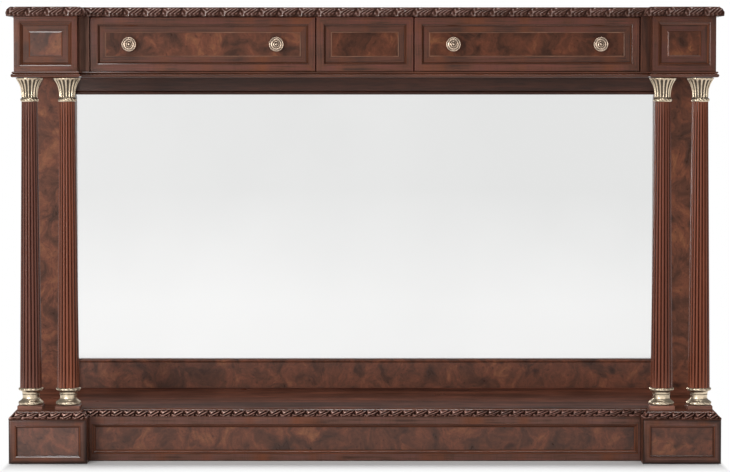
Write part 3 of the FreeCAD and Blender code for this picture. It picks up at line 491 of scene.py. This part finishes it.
# Angles of the narrow slopes that catch the small lamp at the upper left, on the frieze and on the base
BRIGHT, BRIGHT_LOW = np.radians([25.5, 34.0])


def plan_corners(half, inner, front, recess, back):
    """Corners of the break-front plan, and how each one moves when the plan grows by one."""
    corners = np.array([(-half, back), (-half, front), (-inner, front), (-inner, recess),
                        (inner, recess), (inner, front), (half, front), (half, back)], float)
    growth = np.array([(-1, 0), (-1, -1), (1, -1), (1, -1), (-1, -1), (-1, -1), (1, -1), (1, 0)], float)
    return corners, growth


# Steps along carved and plain edges, and the length over which carving dies out at the back, in mm
FINE_STEP, LONG_STEP, END_FADE = 1.2, 400.0, 3.0
# How steeply carving rises from both edges of its profile
EDGE_RISE = 12


def carried_edge(plan, profile, step, finish=0, carve=None, pitch=20.0, depth=0.0):
    """A profile (out, up) carried round the plan with mitred corners.

    A point lies a share t of the way between two corners of the plan grown by the profile's out value.
    Carving moves it along the profile's normal by depth times a relief of (cell, height), where the cell
    runs from -1 to 1 over each pitch and the height from 0 to 1 up the profile."""
    corners, growth = plan
    normal = outward(profile)
    length = along(profile)
    height = length / length[-1]
    sheets = []
    walked = 0.0
    for k in range(len(corners) - 1):
        reach = np.linalg.norm(corners[k + 1] - corners[k])
        count = max(2, int(reach / step) + 1)
        t = np.linspace(0, 1, count)[:, None]
        out, up = (np.broadcast_to(part, (count, len(profile))) for part in profile.T)
        hollow = np.zeros(out.shape)
        if carve is not None:
            cells = max(1, round(reach / pitch))
            cell = 2 * ((t * cells) % 1) - 1
            relief = carve(np.broadcast_to(cell, out.shape), np.broadcast_to(height, out.shape))
            fade = held(np.minimum(height, 1 - height) * EDGE_RISE) * np.ones(t.shape)
            if k == 0:
                fade = fade * held(t * reach / END_FADE)
            if k == len(corners) - 2:
                fade = fade * held((1 - t) * reach / END_FADE)
            out = out + depth * (relief - 0.5) * fade * normal[:, 0]
            up = up + depth * (relief - 0.5) * fade * normal[:, 1]
            hollow = 1 - relief * fade
        start = corners[k] + growth[k] * out[..., None]
        end = corners[k + 1] + growth[k + 1] * out[..., None]
        plane = start + t[..., None] * (end - start)
        points = np.concatenate([plane, up[..., None]], -1)
        flat = np.stack([np.broadcast_to(walked + t * reach, out.shape),
                         np.broadcast_to(length, out.shape)], -1) * MM
        sheets.append(Sheet(points, flat, hollow, finish))
        walked += reach
    return sheets


def back_ends(plan, profile):
    """A profile set upright at each of the two back ends of the plan."""
    corners, growth = plan
    return [np.concatenate([corners[k] + growth[k] * profile[:, :1], profile[:, 1:]], -1) for k in (0, -1)]


def running_leaves(rows, strokes, lean):
    """Carving of running leaves. Each leans to the right along a raised midrib, and slanting lobes rise
    from the midrib on both sides, long on the right and short on the left: their wave grows by rows up
    the height and falls by strokes across the cell. A dark gap parts each leaf from the next."""
    first, last, rib = -0.6, 1.4, 0.09

    def relief(cell, height):
        across = (cell - lean * (height - 0.5) + 1.0) % 2 + first
        lobes = 0.5 + 0.5 * np.cos(2 * math.pi * (rows * height - strokes * np.abs(across)))
        midrib = ridge(across / rib)
        inside = held((last - across) / 0.2) * held((across - first) / 0.14)
        return held(inside * (0.18 + 0.74 * lobes ** 0.9) + 0.3 * midrib)
    return relief


frieze_low, frieze_high = span("left_frieze_block")
bead_low, bead_high = span("frieze_bead")
front_low = span("centre_front")[0]
top_low, top_high = span("top_board")
base_low, base_high = span("base_moulding")
block_high = span("left_base_block")[1]
recess_low = span("base_centre")[0]
shelf_low = span("shelf")[0]

FRIEZE_PLAN = plan_corners(-frieze_low[0], -frieze_high[0], frieze_low[1], front_low[1], bead_high[1])
OVERHANG = top_high[0] + frieze_low[0]
TOP_PLAN = plan_corners(top_high[0], -frieze_high[0] - OVERHANG, top_low[1],
                        front_low[1] - OVERHANG, top_high[1])
BASE_PLAN = plan_corners(base_high[0], -block_high[0], base_low[1], recess_low[1], base_high[1])
# Rows, strokes and lean of the carved leaves, then their pitch and depth in mm
TOP_LEAF = running_leaves(3.0, 2.3, 0.7), 40.0, 2.2
BASE_LEAF = running_leaves(1.7, 1.15, 0.8), 25.6, 4.0


def carved_top():
    """Top board: an ovolo carved with running leaves over a small eased foot, flat above and below."""
    low, high = top_low[2], top_high[2]
    ease, bulge, crown = 2.2, 13.5, 14.0
    foot = arc((-ease, low + ease), ease, -90, 0, 5)
    swell = arc((-bulge, high - crown), bulge, 0, 84, 22)
    profile = np.concatenate([foot[:-1], swell])
    shoulder = np.array([swell[-1], (-16.0, high - 0.6), (-17.0, high)])
    sheets = carried_edge(TOP_PLAN, profile, FINE_STEP, 0, *TOP_LEAF)
    sheets += carried_edge(TOP_PLAN, shoulder, FINE_STEP, 1)
    rim = np.concatenate([profile, shoulder[1:]])
    sheets.append(Sheet(np.stack(back_ends(TOP_PLAN, rim)), finish=1))
    make_piece("top_carved", sheets, [CARVED, GRAIN_X], replaces=["top_board"], plates=1)


def bead_under_frieze():
    """Bead moulding: a step with a leaning upper edge over a half round, carried round the frieze."""
    low, high = bead_low[2], bead_high[2]
    reach = -bead_low[0] + frieze_low[0]
    fillet, waist = high - 2.6, high - 4.2
    lip, slope = reach * 0.62 + 0.3, 1.6
    step = np.array([(0, high), (lip - slope * math.tan(BRIGHT), high), (lip, high - slope),
                     (lip, fillet), (reach * 0.30, waist)])
    radius = (waist - low) / 2
    bead = arc((reach - radius, low + radius), radius, 75, -90, 12)
    loop = np.concatenate([step, bead, [(0, low), (0, high)]])
    sheets = carried_edge(FRIEZE_PLAN, loop, LONG_STEP)
    sheets += [fan(ring) for ring in back_ends(FRIEZE_PLAN, loop)]
    make_piece("frieze_bead_run", sheets, [BEADED], replaces=["frieze_bead"],
               crease=FLAT_CREASE)


def carved_base_edge():
    """Base moulding: a polished nosing that leans back, over a hollow slope carved with leaves."""
    low, high = base_low[2], base_high[2]
    wide = shelf_low[0] - base_low[0]
    nose, sag = 3.2, 1.6
    ledge, step = 3.6 - wide, high - 4.4
    toe, toe_rise = 0.2, low + 1.2
    bend = np.linspace(TURN[1], TURN[0], 5)
    nosing = np.stack([np.cos(bend) - math.cos(TURN[0]), np.sin(bend) - math.sin(TURN[1])], -1)
    nosing = (ledge, high) + nosing * nose / (math.cos(TURN[0]) - math.cos(TURN[1]))
    crown = np.concatenate([[(-wide, high)], nosing, [(ledge, step)]])
    t = np.linspace(0, 1, 22)
    slope = np.stack([ledge + (toe - ledge) * t, step + (toe_rise - step) * t], -1)
    slope += outward(slope) * (sag * np.sin(math.pi * t))[:, None]
    foot = np.array([slope[-1], (toe, low + 0.5), (-0.4, low)])
    back = np.array([foot[-1], (-wide, low), (-wide, high)])
    loop = np.concatenate([crown, slope[1:], foot[1:], back[1:]])
    sheets = carried_edge(BASE_PLAN, crown, FINE_STEP, 1)
    sheets += carried_edge(BASE_PLAN, slope[::-1], FINE_STEP, 0, *BASE_LEAF)
    for plain in (foot, back):
        sheets += carried_edge(BASE_PLAN, plain, FINE_STEP, 1)
    sheets += [fan(ring, 1) for ring in back_ends(BASE_PLAN, loop)]
    make_piece("base_edge_carved", sheets, [CARVED_FOOT, BEADED], replaces=["base_moulding"])


carved_top()
bead_under_frieze()
carved_base_edge()


# Sunk panels

# Shift of the grain from side to side of a frame in mm, and reach of the painted shade on a rim, in roundings
GRAIN_SHIFT, RIM_SHADE_REACH = 911, 2.4


def nested_frame(node, stations):
    """Rectangles one inside the other on a node's front: station k draws the outline in by (side, edge)
    and sets it back by a depth, and strip k between two stations has its own finish, or one for each side
    from the lower one round by the right. A fifth value, or one for each side, tells how deep in a
    quirk the station lies, and darkens it there as painted shade. Each of the four sides is a separate
    sheet, so the mitres stay sharp."""
    (x0, front, z0), (x1, _, z1) = span(node)
    rings = np.array([station[:3] for station in stations], float)
    # How much painted shade each station takes, for each side
    quirk_shades = np.array([np.broadcast_to(station[4] if len(station) > 4 else 0, 4) for station in stations])
    side, edge, depth = rings.T
    y = front + depth
    xs = np.stack([x0 + side, x1 - side, x1 - side, x0 + side], -1)
    zs = np.stack([z0 + edge, z0 + edge, z1 - edge, z1 - edge], -1)
    corners = np.stack([xs, np.broadcast_to(y[:, None], xs.shape), zs], -1)
    across = along(rings)
    sheets = []
    for k in range(len(stations) - 1):
        for j in range(4):
            following = (j + 1) % 4
            points = corners[k:k + 2, [j, following]]
            run = points[..., 0] if j % 2 == 0 else points[..., 2]
            depths = np.broadcast_to(across[k:k + 2, None], run.shape)
            flat = np.stack([run + GRAIN_SHIFT * j, depths], -1) * MM
            finish = stations[k][3][j] if isinstance(stations[k][3], tuple) else stations[k][3]
            sheets.append(Sheet(points, flat, np.repeat(quirk_shades[k:k + 2, j:j + 1], 2, 1), finish))
    return sheets, corners


def panel_front(node, margins, strips, finishes, body, ease=0.9, rim=0.0):
    """A front with a sunk field: rounded outer edge, frame, a step down, then the strips of the field. Rim
    tells how dark the rounded edge is painted, as painted shade and reflection, in all or for each side."""
    low, high = span(node)
    thick = high[1] - low[1]
    side, edge = margins
    bend = np.radians(np.linspace(0, 90, 6))
    stations = [(0, 0, thick, 0)]
    inset = ease * (1 - np.cos(bend))
    # Painted shade on the rounded edge of the front
    stations += [(step, step, ease * (1 - math.sin(a)), 1, rim) for step, a in zip(inset, bend)]
    if rim:
        stations += [(RIM_SHADE_REACH * ease, RIM_SHADE_REACH * ease, 0, 1)]
    stations += [(side, edge, 0, 1)]
    stations += [(side + inset, edge + inset, depth, finish) for inset, depth, finish in strips]
    sheets, corners = nested_frame(node, stations)
    for ring, finish in ((0, 0), (-1, strips[-1][2])):
        plate = corners[ring]
        sheets.append(flat_plate(plate, finish, plate[[0, 1, 3, 2]].reshape(2, 2, 3)[..., [0, 2]] * MM))
    make_piece(f"{node}_veneered", sheets, finishes, body, [node], crease=FLAT_CREASE)


def panel_moulding(front, profile, body, polish):
    """The moulding planted round a sunk field: a closed profile (inset, depth, quirk) carried round the
    frame. Polish is the finish of its lower side."""
    node = f"{front}_moulding"
    stations = [(inset, inset, depth, (0, 1, 2, 1), quirk) for inset, depth, quirk in profile]
    sheets = nested_frame(node, stations + [stations[0]])[0]
    make_piece(f"{front}_edging", sheets, [polish, UPRIGHT, BEADED], body, [node],
               crease=FLAT_CREASE)


def panel(node, margins, strips, finishes, profile, body="table", polish=MOULDED, **edge):
    """A front and the moulding planted on it."""
    panel_front(node, margins, strips, finishes, body, **edge)
    panel_moulding(node, profile, body, polish)


def planted_profile(width, sink, bead, lean):
    """A bead that stands a little in front of the frame and falls back at the angle lean, a quirk, then a
    flat ovolo that falls to a second quirk at the field, as (inset, depth, quirk). The ovolo's two ends lie
    at the angles of TURN."""
    rise, brow = 0.8, 0.5 * bead
    head = arc((brow, 0), brow, 180, 90, 6)
    head = np.c_[head[:, 0], -head[:, 1] * rise / brow, np.zeros(6)]
    back = (2 * bead, (2 * bead - brow) * math.tan(lean) - rise, 0.0)
    start, end = 2 * bead + 0.5, width - 0.5
    low, high = TURN
    bend = np.linspace(low, high, 9)
    radius = (end - start) / (math.sin(high) - math.sin(low))
    fall = np.c_[start + radius * (np.sin(bend) - math.sin(low)),
                 sink - 0.6 - radius * (np.cos(bend) - math.cos(high)), np.zeros(9)]
    # The quirks and the foot are darkened as painted shade
    quirk = [(2 * bead + 0.1, fall[0, 1] + 0.3, 1.0), (start - 0.1, fall[0, 1] + 0.4, 1.0)]
    foot = [(end + 0.1, sink - 0.4, 1.0), (width, sink - 0.3, 1.0), (width, sink, 1.0)]
    return np.concatenate([[(0, sink, 0.0)], head, [back], quirk, fall, foot])


# Depth of the sunk fields, widths of their mouldings, seam between two finishes and inner banding, in mm
SINK = 6.0
BROAD, SLIM = 8.0, 5.0
SEAM, BAND = 0.02, 12.0
# Height of the stringing, and rise and slope of the raised panels, in mm
PROUD, RAISED, SLOPE = 0.35, 0.9, 2.2
BROAD_PLANTED = planted_profile(BROAD, SINK, 1.3, BRIGHT)
SLIM_PLANTED = planted_profile(SLIM, SINK, 0.9, BRIGHT)
BASE_PLANTED = planted_profile(SLIM, SINK, 1.5, BRIGHT_LOW)

# Strips of the sunk fields: inset, depth, and finish number or one for each side
DRAWER_STRIPS = [(SEAM, SINK, 2), (SLIM + BAND, SINK, 3), (SLIM + BAND + 0.5, SINK - PROUD, 3),
                 (SLIM + BAND + 1.2, SINK, 4)]
DRAWER_FINISHES = {"left": [GRAIN_X, CROSSBAND, CROSSBAND_DARK, STRINGING, BURL_LEFT],
                   "right": [GRAIN_X, CROSSBAND, CROSSBAND_DARK, STRINGING, BURL_RIGHT_SHADED]}
EDGE_FINISHES = (3, 5, 3, 5)
BLOCK_STRIPS = [(SEAM, SINK, 2), (BROAD + BAND, SINK, EDGE_FINISHES),
                (BROAD + BAND + 0.6, SINK - RAISED, EDGE_FINISHES),
                (BROAD + BAND + 0.6 + SLOPE, SINK - RAISED - SLOPE * math.tan(BRIGHT), 4)]
BLOCK_FINISHES = {"left": [GRAIN_X, CROSSBAND, CROSSBAND_DARK, MOULDED, BURL_LEFT_BLOCK_LIT, UPRIGHT],
                  "right": [GRAIN_X, CROSSBAND_RIGHT_SHADED, CROSSBAND_RIGHT_SHADED, MOULDED, BURL_RIGHT_SHADED, UPRIGHT]}
PLAIN_STRIPS = [(SEAM, SINK, 2)]
BASE_FINISHES = {"left": [GRAIN_X, CROSSBAND_BASE, BURL_BASE_LEFT_LIT],
                 "right": [GRAIN_X, CROSSBAND_BASE, BURL_BASE]}

# Widths of the frames at the sides and along the edges, in mm
DRAWER_MARGINS, BLOCK_MARGINS, BASE_MARGINS, RECESS_MARGINS = (14.4, 14.4), (11.2, 11.2), (13, 13), (6, 15)
# Painted shade on a rim below, at the right, above and at the left, and the rounding of the base blocks in mm
BASE_RIM_SHADE, RECESS_RIM_SHADE = (1.0, 0.9, 0.2, 0.9), (0.9, 0.4, 0.2, 0.4)
BASE_EASE = 4.0

for side in SIDES:
    panel(f"{side}_drawer_front", DRAWER_MARGINS, DRAWER_STRIPS, DRAWER_FINISHES[side], SLIM_PLANTED,
          f"{side}_drawer")
    panel(f"{side}_frieze_block", BLOCK_MARGINS, BLOCK_STRIPS, BLOCK_FINISHES[side], BROAD_PLANTED)
    panel(f"{side}_base_block", BASE_MARGINS, PLAIN_STRIPS, BASE_FINISHES[side], BASE_PLANTED,
          ease=BASE_EASE, rim=BASE_RIM_SHADE)
panel("centre_front", DRAWER_MARGINS, DRAWER_STRIPS, DRAWER_FINISHES["right"], SLIM_PLANTED)
panel("base_centre", RECESS_MARGINS, PLAIN_STRIPS, BASE_FINISHES["right"], BROAD_PLANTED, polish=UPRIGHT,
      rim=RECESS_RIM_SHADE)


# Columns and knobs

REEDS, LEAVES = 18, 16
# Grid spokes round a shaft and a cast piece, and the radius of the bore for the tenon in mm
SHAFT_SPOKES, CAST_SPOKES = REEDS * 14, LEAVES * 20
BORE = 9.0
COLUMNS = [f"{side}_{place}" for side in SIDES for place in ("outer", "inner")]


def turned(axis, profile, spokes, swell=None):
    """A turned surface: profile (radius, height) swept round an upright axis. Swell gives, from the angle
    and the place along the profile, how far a point moves outward and how deep it lies."""
    angle = np.linspace(0, 2 * math.pi, spokes + 1)[None, :]
    radius = np.repeat(profile[:, :1], spokes + 1, 1)
    height = np.repeat(profile[:, 1:], spokes + 1, 1)
    hollow = np.zeros(radius.shape)
    if swell is not None:
        out, rise, hollow = swell(np.broadcast_to(angle, radius.shape), height)
        radius = radius + out
        height = height + rise
    points = np.stack([axis[0] + radius * np.cos(angle), axis[1] + radius * np.sin(angle),
                       axis[2] + height], -1)
    flat = np.stack([np.broadcast_to(angle * 20, radius.shape), height], -1) * MM
    return Sheet(points, flat, hollow)


def sector(angle, count):
    """Place inside one of count equal sectors, from -1 to 1 with 0 in its middle."""
    return 2 * ((angle * count / (2 * math.pi)) % 1) - 1


def foot_and_height(node):
    """Middle of the foot of a column's part, and the part's height."""
    low, high = span(node)
    return ((low[0] + high[0]) / 2, (low[1] + high[1]) / 2, low[2]), high[2] - low[2]


def cast_piece(label, part, axis, profile, relief, finish):
    """A cast part of a column: a turned surface with relief round a straight bore."""
    bore = np.array([(BORE, profile[-1, 1]), (BORE, 0.0)])
    sheets = [turned(axis, profile, CAST_SPOKES, relief), turned(axis, bore, CAST_SPOKES)]
    return make_piece(f"{label}_{part}_cast", sheets, [finish],
                      replaces=[f"{label}_column_{part}"], crease=ROUND_CREASE)


def shaft_piece(label):
    """Shaft: radius falls straight from foot to head, less a round reed in each sector that meets the
    next in a sharp valley."""
    (x, y, low), tall = foot_and_height(f"{label}_column_base")
    foot = low + tall
    length = span(f"{label}_column_capital")[0][2] - foot
    thick, taper, deep, loss = 23.0, 6.2, 2.5, 0.6
    rise = np.linspace(0, length, 16)
    profile = np.stack([thick - taper * rise / length, rise], -1)

    def reeds(angle, height):
        depth = deep - loss * height / length
        valley = 1 - np.sqrt(hump(0.97 * sector(angle, REEDS)))
        return -depth * valley, 0 * height, valley

    body = turned((x, y, foot), profile, SHAFT_SPOKES, reeds)
    caps = fan(body.points[0]), fan(body.points[-1])
    return make_piece(f"{label}_shaft_reeded", [body, *caps], [REEDED[label]],
                      replaces=[f"{label}_column_shaft"], crease=ROUND_CREASE)


def capital_piece(label):
    """Capital: a roped ring, then a bell whose radius grows with a power of the height. Each sector has a
    flute with round ends between two ribs, and the lip above it swells in a scallop."""
    axis, tall = foot_and_height(f"{label}_column_capital")
    flute_depth, rope_turns = 2.7, 14
    ring_top, lip = 9.0, tall - 4.5
    neck, swell, waist, spread, power = 17.0, 2.2, 16.3, 10.6, 2.8
    ring = np.stack([neck + swell * np.sqrt(hump(np.linspace(-1, 1, 14))),
                     np.linspace(0.0, ring_top - 1.5, 14)], -1)
    climb = np.linspace(0, 1, 46)
    bell = np.stack([waist + spread * climb ** power, ring_top - 1.0 + (lip - ring_top + 1.0) * climb], -1)
    crest = np.array([(27.8, lip + 1.2), (28.4, lip + 2.4), (28.0, lip + 3.4), (26.8, lip + 3.9),
                      (26.0, tall - 0.4), (25.5, tall), (BORE, tall)])
    profile = np.concatenate([[(BORE, 0.0)], ring, bell, crest])

    def leaves(angle, height):
        share = held((height - ring_top) / (lip - ring_top))
        across = sector(angle, LEAVES)
        foot_end = np.sqrt(hump(held(1 - share / 0.10)))
        head_end = np.sqrt(hump(held((share - 0.90) / 0.09)))
        wide = 0.68 * foot_end * head_end
        flute = hump(across / np.maximum(wide, TINY))
        in_bell = (height > ring_top) & (height < lip)
        flute = np.where(in_bell, flute, 0)
        rib = np.where(in_bell, 0.6 * hump((np.abs(across) - 0.84) / 0.20), 0)
        near_lip = ridge((height - lip - 2.2) / 2.2)
        below_top = height < tall - 0.5
        scallop = below_top * near_lip * (0.9 * np.sqrt(hump(across)) - 0.7)
        on_ring = hump((height - 3.8) / 3.8)
        twist = np.cos(rope_turns * angle + 0.55 * height)
        rope = on_ring * (0.55 * twist - 0.35)
        groove = ridge((height - ring_top + 0.4) / 0.8)
        out = -flute_depth * flute * (0.75 + 0.5 * share) + rib + scallop + rope
        dark = np.maximum.reduce([flute ** 0.35, 0.9 * groove, on_ring * held(-twist) * 0.7,
                                  near_lip * held(np.abs(across) - 0.72) * 2.6])
        return out, 0.8 * scallop, held(dark)

    return cast_piece(label, "capital", axis, profile, leaves, BRASS)


def base_piece(label):
    """Cast base: a ring wound with leaves, a flare, a plain drum, a cavetto, and a thin rim with a leafy
    edge."""
    axis, tall = foot_and_height(f"{label}_column_base")
    torus_out, torus_round, drum_foot, drum_head = 21.9, 4.4, 12.7, 23.0
    cove_out, cove_low, cove_deep, cove_tall = 24.3, 23.8, 6.1, 7.2
    rim_out, rim_low, rim_round = 23.6, 31.2, 2.6
    torus = arc((torus_out, torus_round), torus_round, -89, 66, 18)
    flare = np.array([(22.9, 8.9), (22.3, 9.5), (21.2, 10.0), (20.3, 10.8), (19.8, 11.7), (18.6, 12.3)])
    drum = np.array([(18.5, 12.7), (18.0, 13.2), (17.7, 14.6), (17.6, 17.0), (17.7, 19.6), (18.1, 21.6),
                     (18.2, 22.4), (17.8, 23.0), (18.1, 23.6)])
    bend = np.linspace(0.0, math.pi / 2, 9)
    hollow = np.stack([cove_out - cove_deep * np.cos(bend), cove_low + cove_tall * np.sin(bend)], -1)
    middle = (rim_low + tall) / 2
    bend = np.linspace(-1.45, math.pi / 2, 14)
    ring = np.stack([rim_out + rim_round * np.cos(bend), middle + (tall - middle) * np.sin(bend)], -1)
    profile = np.concatenate([[(BORE, 0.0)], torus, flare, drum, hollow, ring, [(BORE, tall)]])

    def leafwork(angle, height):
        on_torus = hump((height - torus_round) / 4.5)
        on_ring = hump((height - middle) / (tall - middle))
        leaf = np.abs(np.sin(6 * angle + 0.22 * height))
        vein = np.abs(np.sin(18 * angle - 0.45 * height))
        cut = on_torus * held(1.05 - 1.2 * leaf - 0.35 * vein)
        wave = on_ring * held(0.5 - 0.75 * np.cos(14 * angle + 0.12 * height))
        out = -1.0 * cut - 0.8 * wave + 0.3 * on_torus
        seam = 0.7 * ridge((height - drum_foot) / 0.7) + ridge((height - drum_head) / 0.8)
        dark = np.maximum.reduce([0.8 * cut, 0.55 * wave, 0.95 * seam, 0.3 * on_torus * vein ** 6])
        return out * (height > 0.2) * (height < tall - 0.02), -0.6 * wave, held(dark)

    return cast_piece(label, "base", axis, profile, leafwork, BRASS_FOOT)


def plinth_pieces():
    """Four square plinths with eased edges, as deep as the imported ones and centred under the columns."""
    low, high = span("column_plinths")
    half, ease = (high[1] - low[1]) / 2, 0.8
    sheets = []
    for label in COLUMNS:
        middle = foot_and_height(f"{label}_column_base")[0][0]
        x0, x1 = middle - half, middle + half
        ring = np.array([(x0, low[1]), (x1, low[1]), (x1, high[1]), (x0, high[1]), (x0, low[1])])
        rims = [np.c_[ring, np.full(len(ring), level)] for level in (low[2], high[2])]
        sheets.append(Sheet(np.stack(rims)))
        sheets += [flat_plate(rim[:4]) for rim in rims]
    plinths = make_piece("plinths_square", sheets, [PLINTH], replaces=["column_plinths"])
    bevel = plinths.modifiers.new("eased", "BEVEL")
    bevel.width = ease * MM
    bevel.segments = 2
    plinths.visible_glossy = False


# The glass reflects a plain room, so columns and plinths are hidden from reflections
for column in COLUMNS:
    for piece in (shaft_piece(column), capital_piece(column), base_piece(column)):
        piece.visible_glossy = False
plinth_pieces()


# Radius and reach along the outline of a knob, in mm
KNOB_PROFILE = np.array([
    (0, 0), (10.4, 0), (10.4, 2.0), (9.2, 3.0), (7.6, 4.2), (7.4, 7.0), (9.0, 9.2),
    (13.6, 10.2), (15.2, 11.2), (15.6, 12.6), (15.2, 14.0), (14.2, 14.6), (13.4, 14.3), (12.9, 13.6),
    (12.2, 13.6), (11.6, 14.3), (10.4, 15.0), (9.2, 15.2), (8.6, 14.7), (8.2, 14.0), (7.4, 14.0),
    (6.9, 14.7), (6.0, 15.5), (5.2, 15.7), (4.6, 15.2), (4.2, 14.2), (3.6, 14.2), (3.4, 15.6),
    (2.9, 17.2), (1.6, 18.2), (0, 18.4),
], float)
KNOB_ROWS, KNOB_SPOKES = 90, 65
# Radii of the dark grooves in its face, in mm
KNOB_GROOVES = (3.9, 7.8, 12.5)


def knob_sheet(centre, front):
    """A turned knob pointing out of the front: rings across its face round a small button."""
    steps = along(KNOB_PROFILE)
    fine = np.linspace(0, steps[-1], KNOB_ROWS)
    profile = np.stack([np.interp(fine, steps, KNOB_PROFILE[:, k]) for k in (0, 1)], -1)
    cuts = sum(ridge((profile[:, 0] - place) / 0.75) for place in KNOB_GROOVES)
    cuts = np.where(profile[:, 1] > 12.8, held(cuts), np.clip((9.5 - profile[:, 1]) / 9, 0, 0.8))
    angle = np.linspace(0, 2 * math.pi, KNOB_SPOKES)[None, :]
    ray, out = profile[:, :1], profile[:, 1:]
    points = np.stack([centre[0] + ray * np.cos(angle),
                       front - np.broadcast_to(out, (KNOB_ROWS, KNOB_SPOKES)),
                       centre[1] + ray * np.sin(angle)], -1)
    return Sheet(points, None, np.repeat(cuts[:, None], KNOB_SPOKES, 1))


def knob_pair(side):
    """The two knobs of a drawer, seated on its sunk field."""
    low, high = span(f"{side}_drawer_knobs")
    field = span(f"{side}_drawer_front")[0][1] + SINK
    level, radius = (low[2] + high[2]) / 2, (high[2] - low[2]) / 2
    sheets = [knob_sheet((x, level), field) for x in (low[0] + radius, high[0] - radius)]
    make_piece(f"{side}_drawer_knobs_turned", sheets, [KNOB_BRASS], f"{side}_drawer",
               [f"{side}_drawer_knobs"], crease=KNOB_CREASE)


for side in SIDES:
    knob_pair(side)


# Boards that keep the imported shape

BOARD_FINISHES = {
    "soffit_board": GRAIN_SOFFIT, "shelf": SHELF, "back_top_rail": GRAIN_RAIL, "back_bottom_rail": BURL_RAIL,
    "mirror_plate": MIRROR, "mirror_backing": TIMBER_X, "base_back_rail": TIMBER_X,
}
for side in SIDES:
    BOARD_FINISHES.update({
        f"{side}_back_stile": BURL_STILE, f"{side}_drawer_guide": GUIDES[side], f"{side}_divider": TIMBER,
        f"{side}_frieze_end": GRAIN_Y, f"{side}_base_end": GRAIN_Y,
        f"{side}_drawer_left_side": TIMBER, f"{side}_drawer_right_side": TIMBER,
        f"{side}_drawer_back": TIMBER_X, f"{side}_drawer_bottom": TIMBER_X,
    })
for node, finish in BOARD_FINISHES.items():
    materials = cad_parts[node].data.materials
    materials.clear()
    materials.append(finish)


# Studio

WHITE = (1, 1, 1, 1)


def stage_floor():
    """Pale floor that keeps the table's shadow near it. Farther off, it is white to the camera and in
    reflections."""
    pale, glow, reach, drop = (0.72, 0.72, 0.72, 1), 0.02, 30.0, 0.0004
    f = Finish("studio_floor")
    rays = f.node("ShaderNodeLightPath")
    seen = f.sums("MAXIMUM", rays.outputs["Is Camera Ray"], rays.outputs["Is Glossy Ray"])
    seen = f.sums("MAXIMUM", seen, rays.outputs["Is Transmission Ray"])
    f.coat(pale, 0.9, 0.0, Emission_Color=WHITE, Emission_Strength=f.sums("MULTIPLY", seen, glow))
    # Edges of the shadowed ground beside, before and behind the table, in metres
    axes = f.axes(f.place())
    beside = f.level(f.sums("ABSOLUTE", axes["X"], 0.0), 0.0, 1.0, 0.742, 0.757, "SMOOTHSTEP")
    before = f.level(axes["Y"], 1.0, 0.0, -0.40, -0.25)
    behind = f.level(axes["Y"], 0.0, 1.0, 0.26, 0.70, "SMOOTHSTEP")
    away = f.sums("MAXIMUM", beside, f.sums("MAXIMUM", before, behind))
    shine = f.node("ShaderNodeEmission", {"Color": WHITE, "Strength": 1.0})
    plain = f.sums("MULTIPLY", seen, away)
    blend = f.node("ShaderNodeMixShader", {0: plain, 1: f.shader.outputs[0], 2: shine.outputs[0]})
    f.tree.links.new(blend.outputs[0], f.tree.nodes["Material Output"].inputs["Surface"])
    square = np.array([(-1, -1), (1, -1), (1, 1), (-1, 1)]) * reach
    mesh = bpy.data.meshes.new("floor")
    mesh.from_pydata(np.c_[square, np.full(4, -drop)], [], [(0, 1, 2, 3)])
    mesh.materials.append(f.material)
    put("floor", mesh)


def stage_world():
    """White to the camera, a soft even light for the rest, and in reflections white in front only."""
    front, aside, dim, even = -0.95, -0.60, 0.18, 0.36
    world = bpy.data.worlds.new("studio")
    scene.world = world
    world.use_nodes = True
    sky = Nodes(world.node_tree)
    rays = sky.node("ShaderNodeLightPath").outputs
    heading = sky.node("ShaderNodeTexCoord").outputs["Generated"]
    ahead = sky.level(sky.axes(heading)["Y"], 1.0, dim, front, aside)
    glossy = sky.sums("MAXIMUM", rays["Is Glossy Ray"], rays["Is Transmission Ray"])
    soft = sky.level(glossy, even, ahead)
    background = sky.tree.nodes["Background"].inputs
    sky.feed(background["Strength"], sky.level(rays["Is Camera Ray"], soft, 1.0))
    sky.feed(background["Color"], WHITE)


def soft_lamp(name, place, aim, size, power):
    """A rectangular soft lamp that looks at a point."""
    lamp = bpy.data.lights.new(name, "AREA")
    lamp.shape = "RECTANGLE"
    lamp.size, lamp.size_y = size
    lamp.energy = power
    holder = put(name, lamp)
    holder.location = place
    holder.rotation_euler = (Vector(aim) - Vector(place)).to_track_quat("-Z", "Y").to_euler()


def camera():
    """Long lens before the table, near the height of the mirror's upper edge, looking down a little."""
    place, fall = (0.0002, -5.8673, 0.7918), 2.393
    lens = bpy.data.cameras.new("camera")
    lens.sensor_width = 36.0
    lens.lens = 132.72
    lens.clip_end = 200.0
    tripod = put("camera", lens)
    lens.shift_y = -0.05
    tripod.location = place
    tripod.rotation_euler = (math.radians(90 - fall), 0, 0)
    scene.camera = tripod


# Name of each lamp, its place, aim and size in metres, and its power in watts
LAMPS = [
    ("key_left", (-2.7, -4.1, 1.0), (-0.3, 0, 0.5), (1.5, 1.6), 116),
    ("fill_right", (3.3, -3.7, 1.0), (0.2, 0, 0.5), (1.5, 1.6), 14),
    ("edge_left", (-1.0, -2.03, 3.2), (-0.66, -0.24, 0.9), (0.45, 0.25), 3.0),
    ("front_top", (0, -1.27, 3.2), (0, -0.2, 0.3), (2.6, 0.12), 20),
    ("over", (0, 0.30, 6.0), (0, -0.02, 0), (3.6, 0.44), 240),
]

stage_floor()
stage_world()
for lamp in LAMPS:
    soft_lamp(*lamp)
camera()
scene.view_settings.view_transform = "Standard"
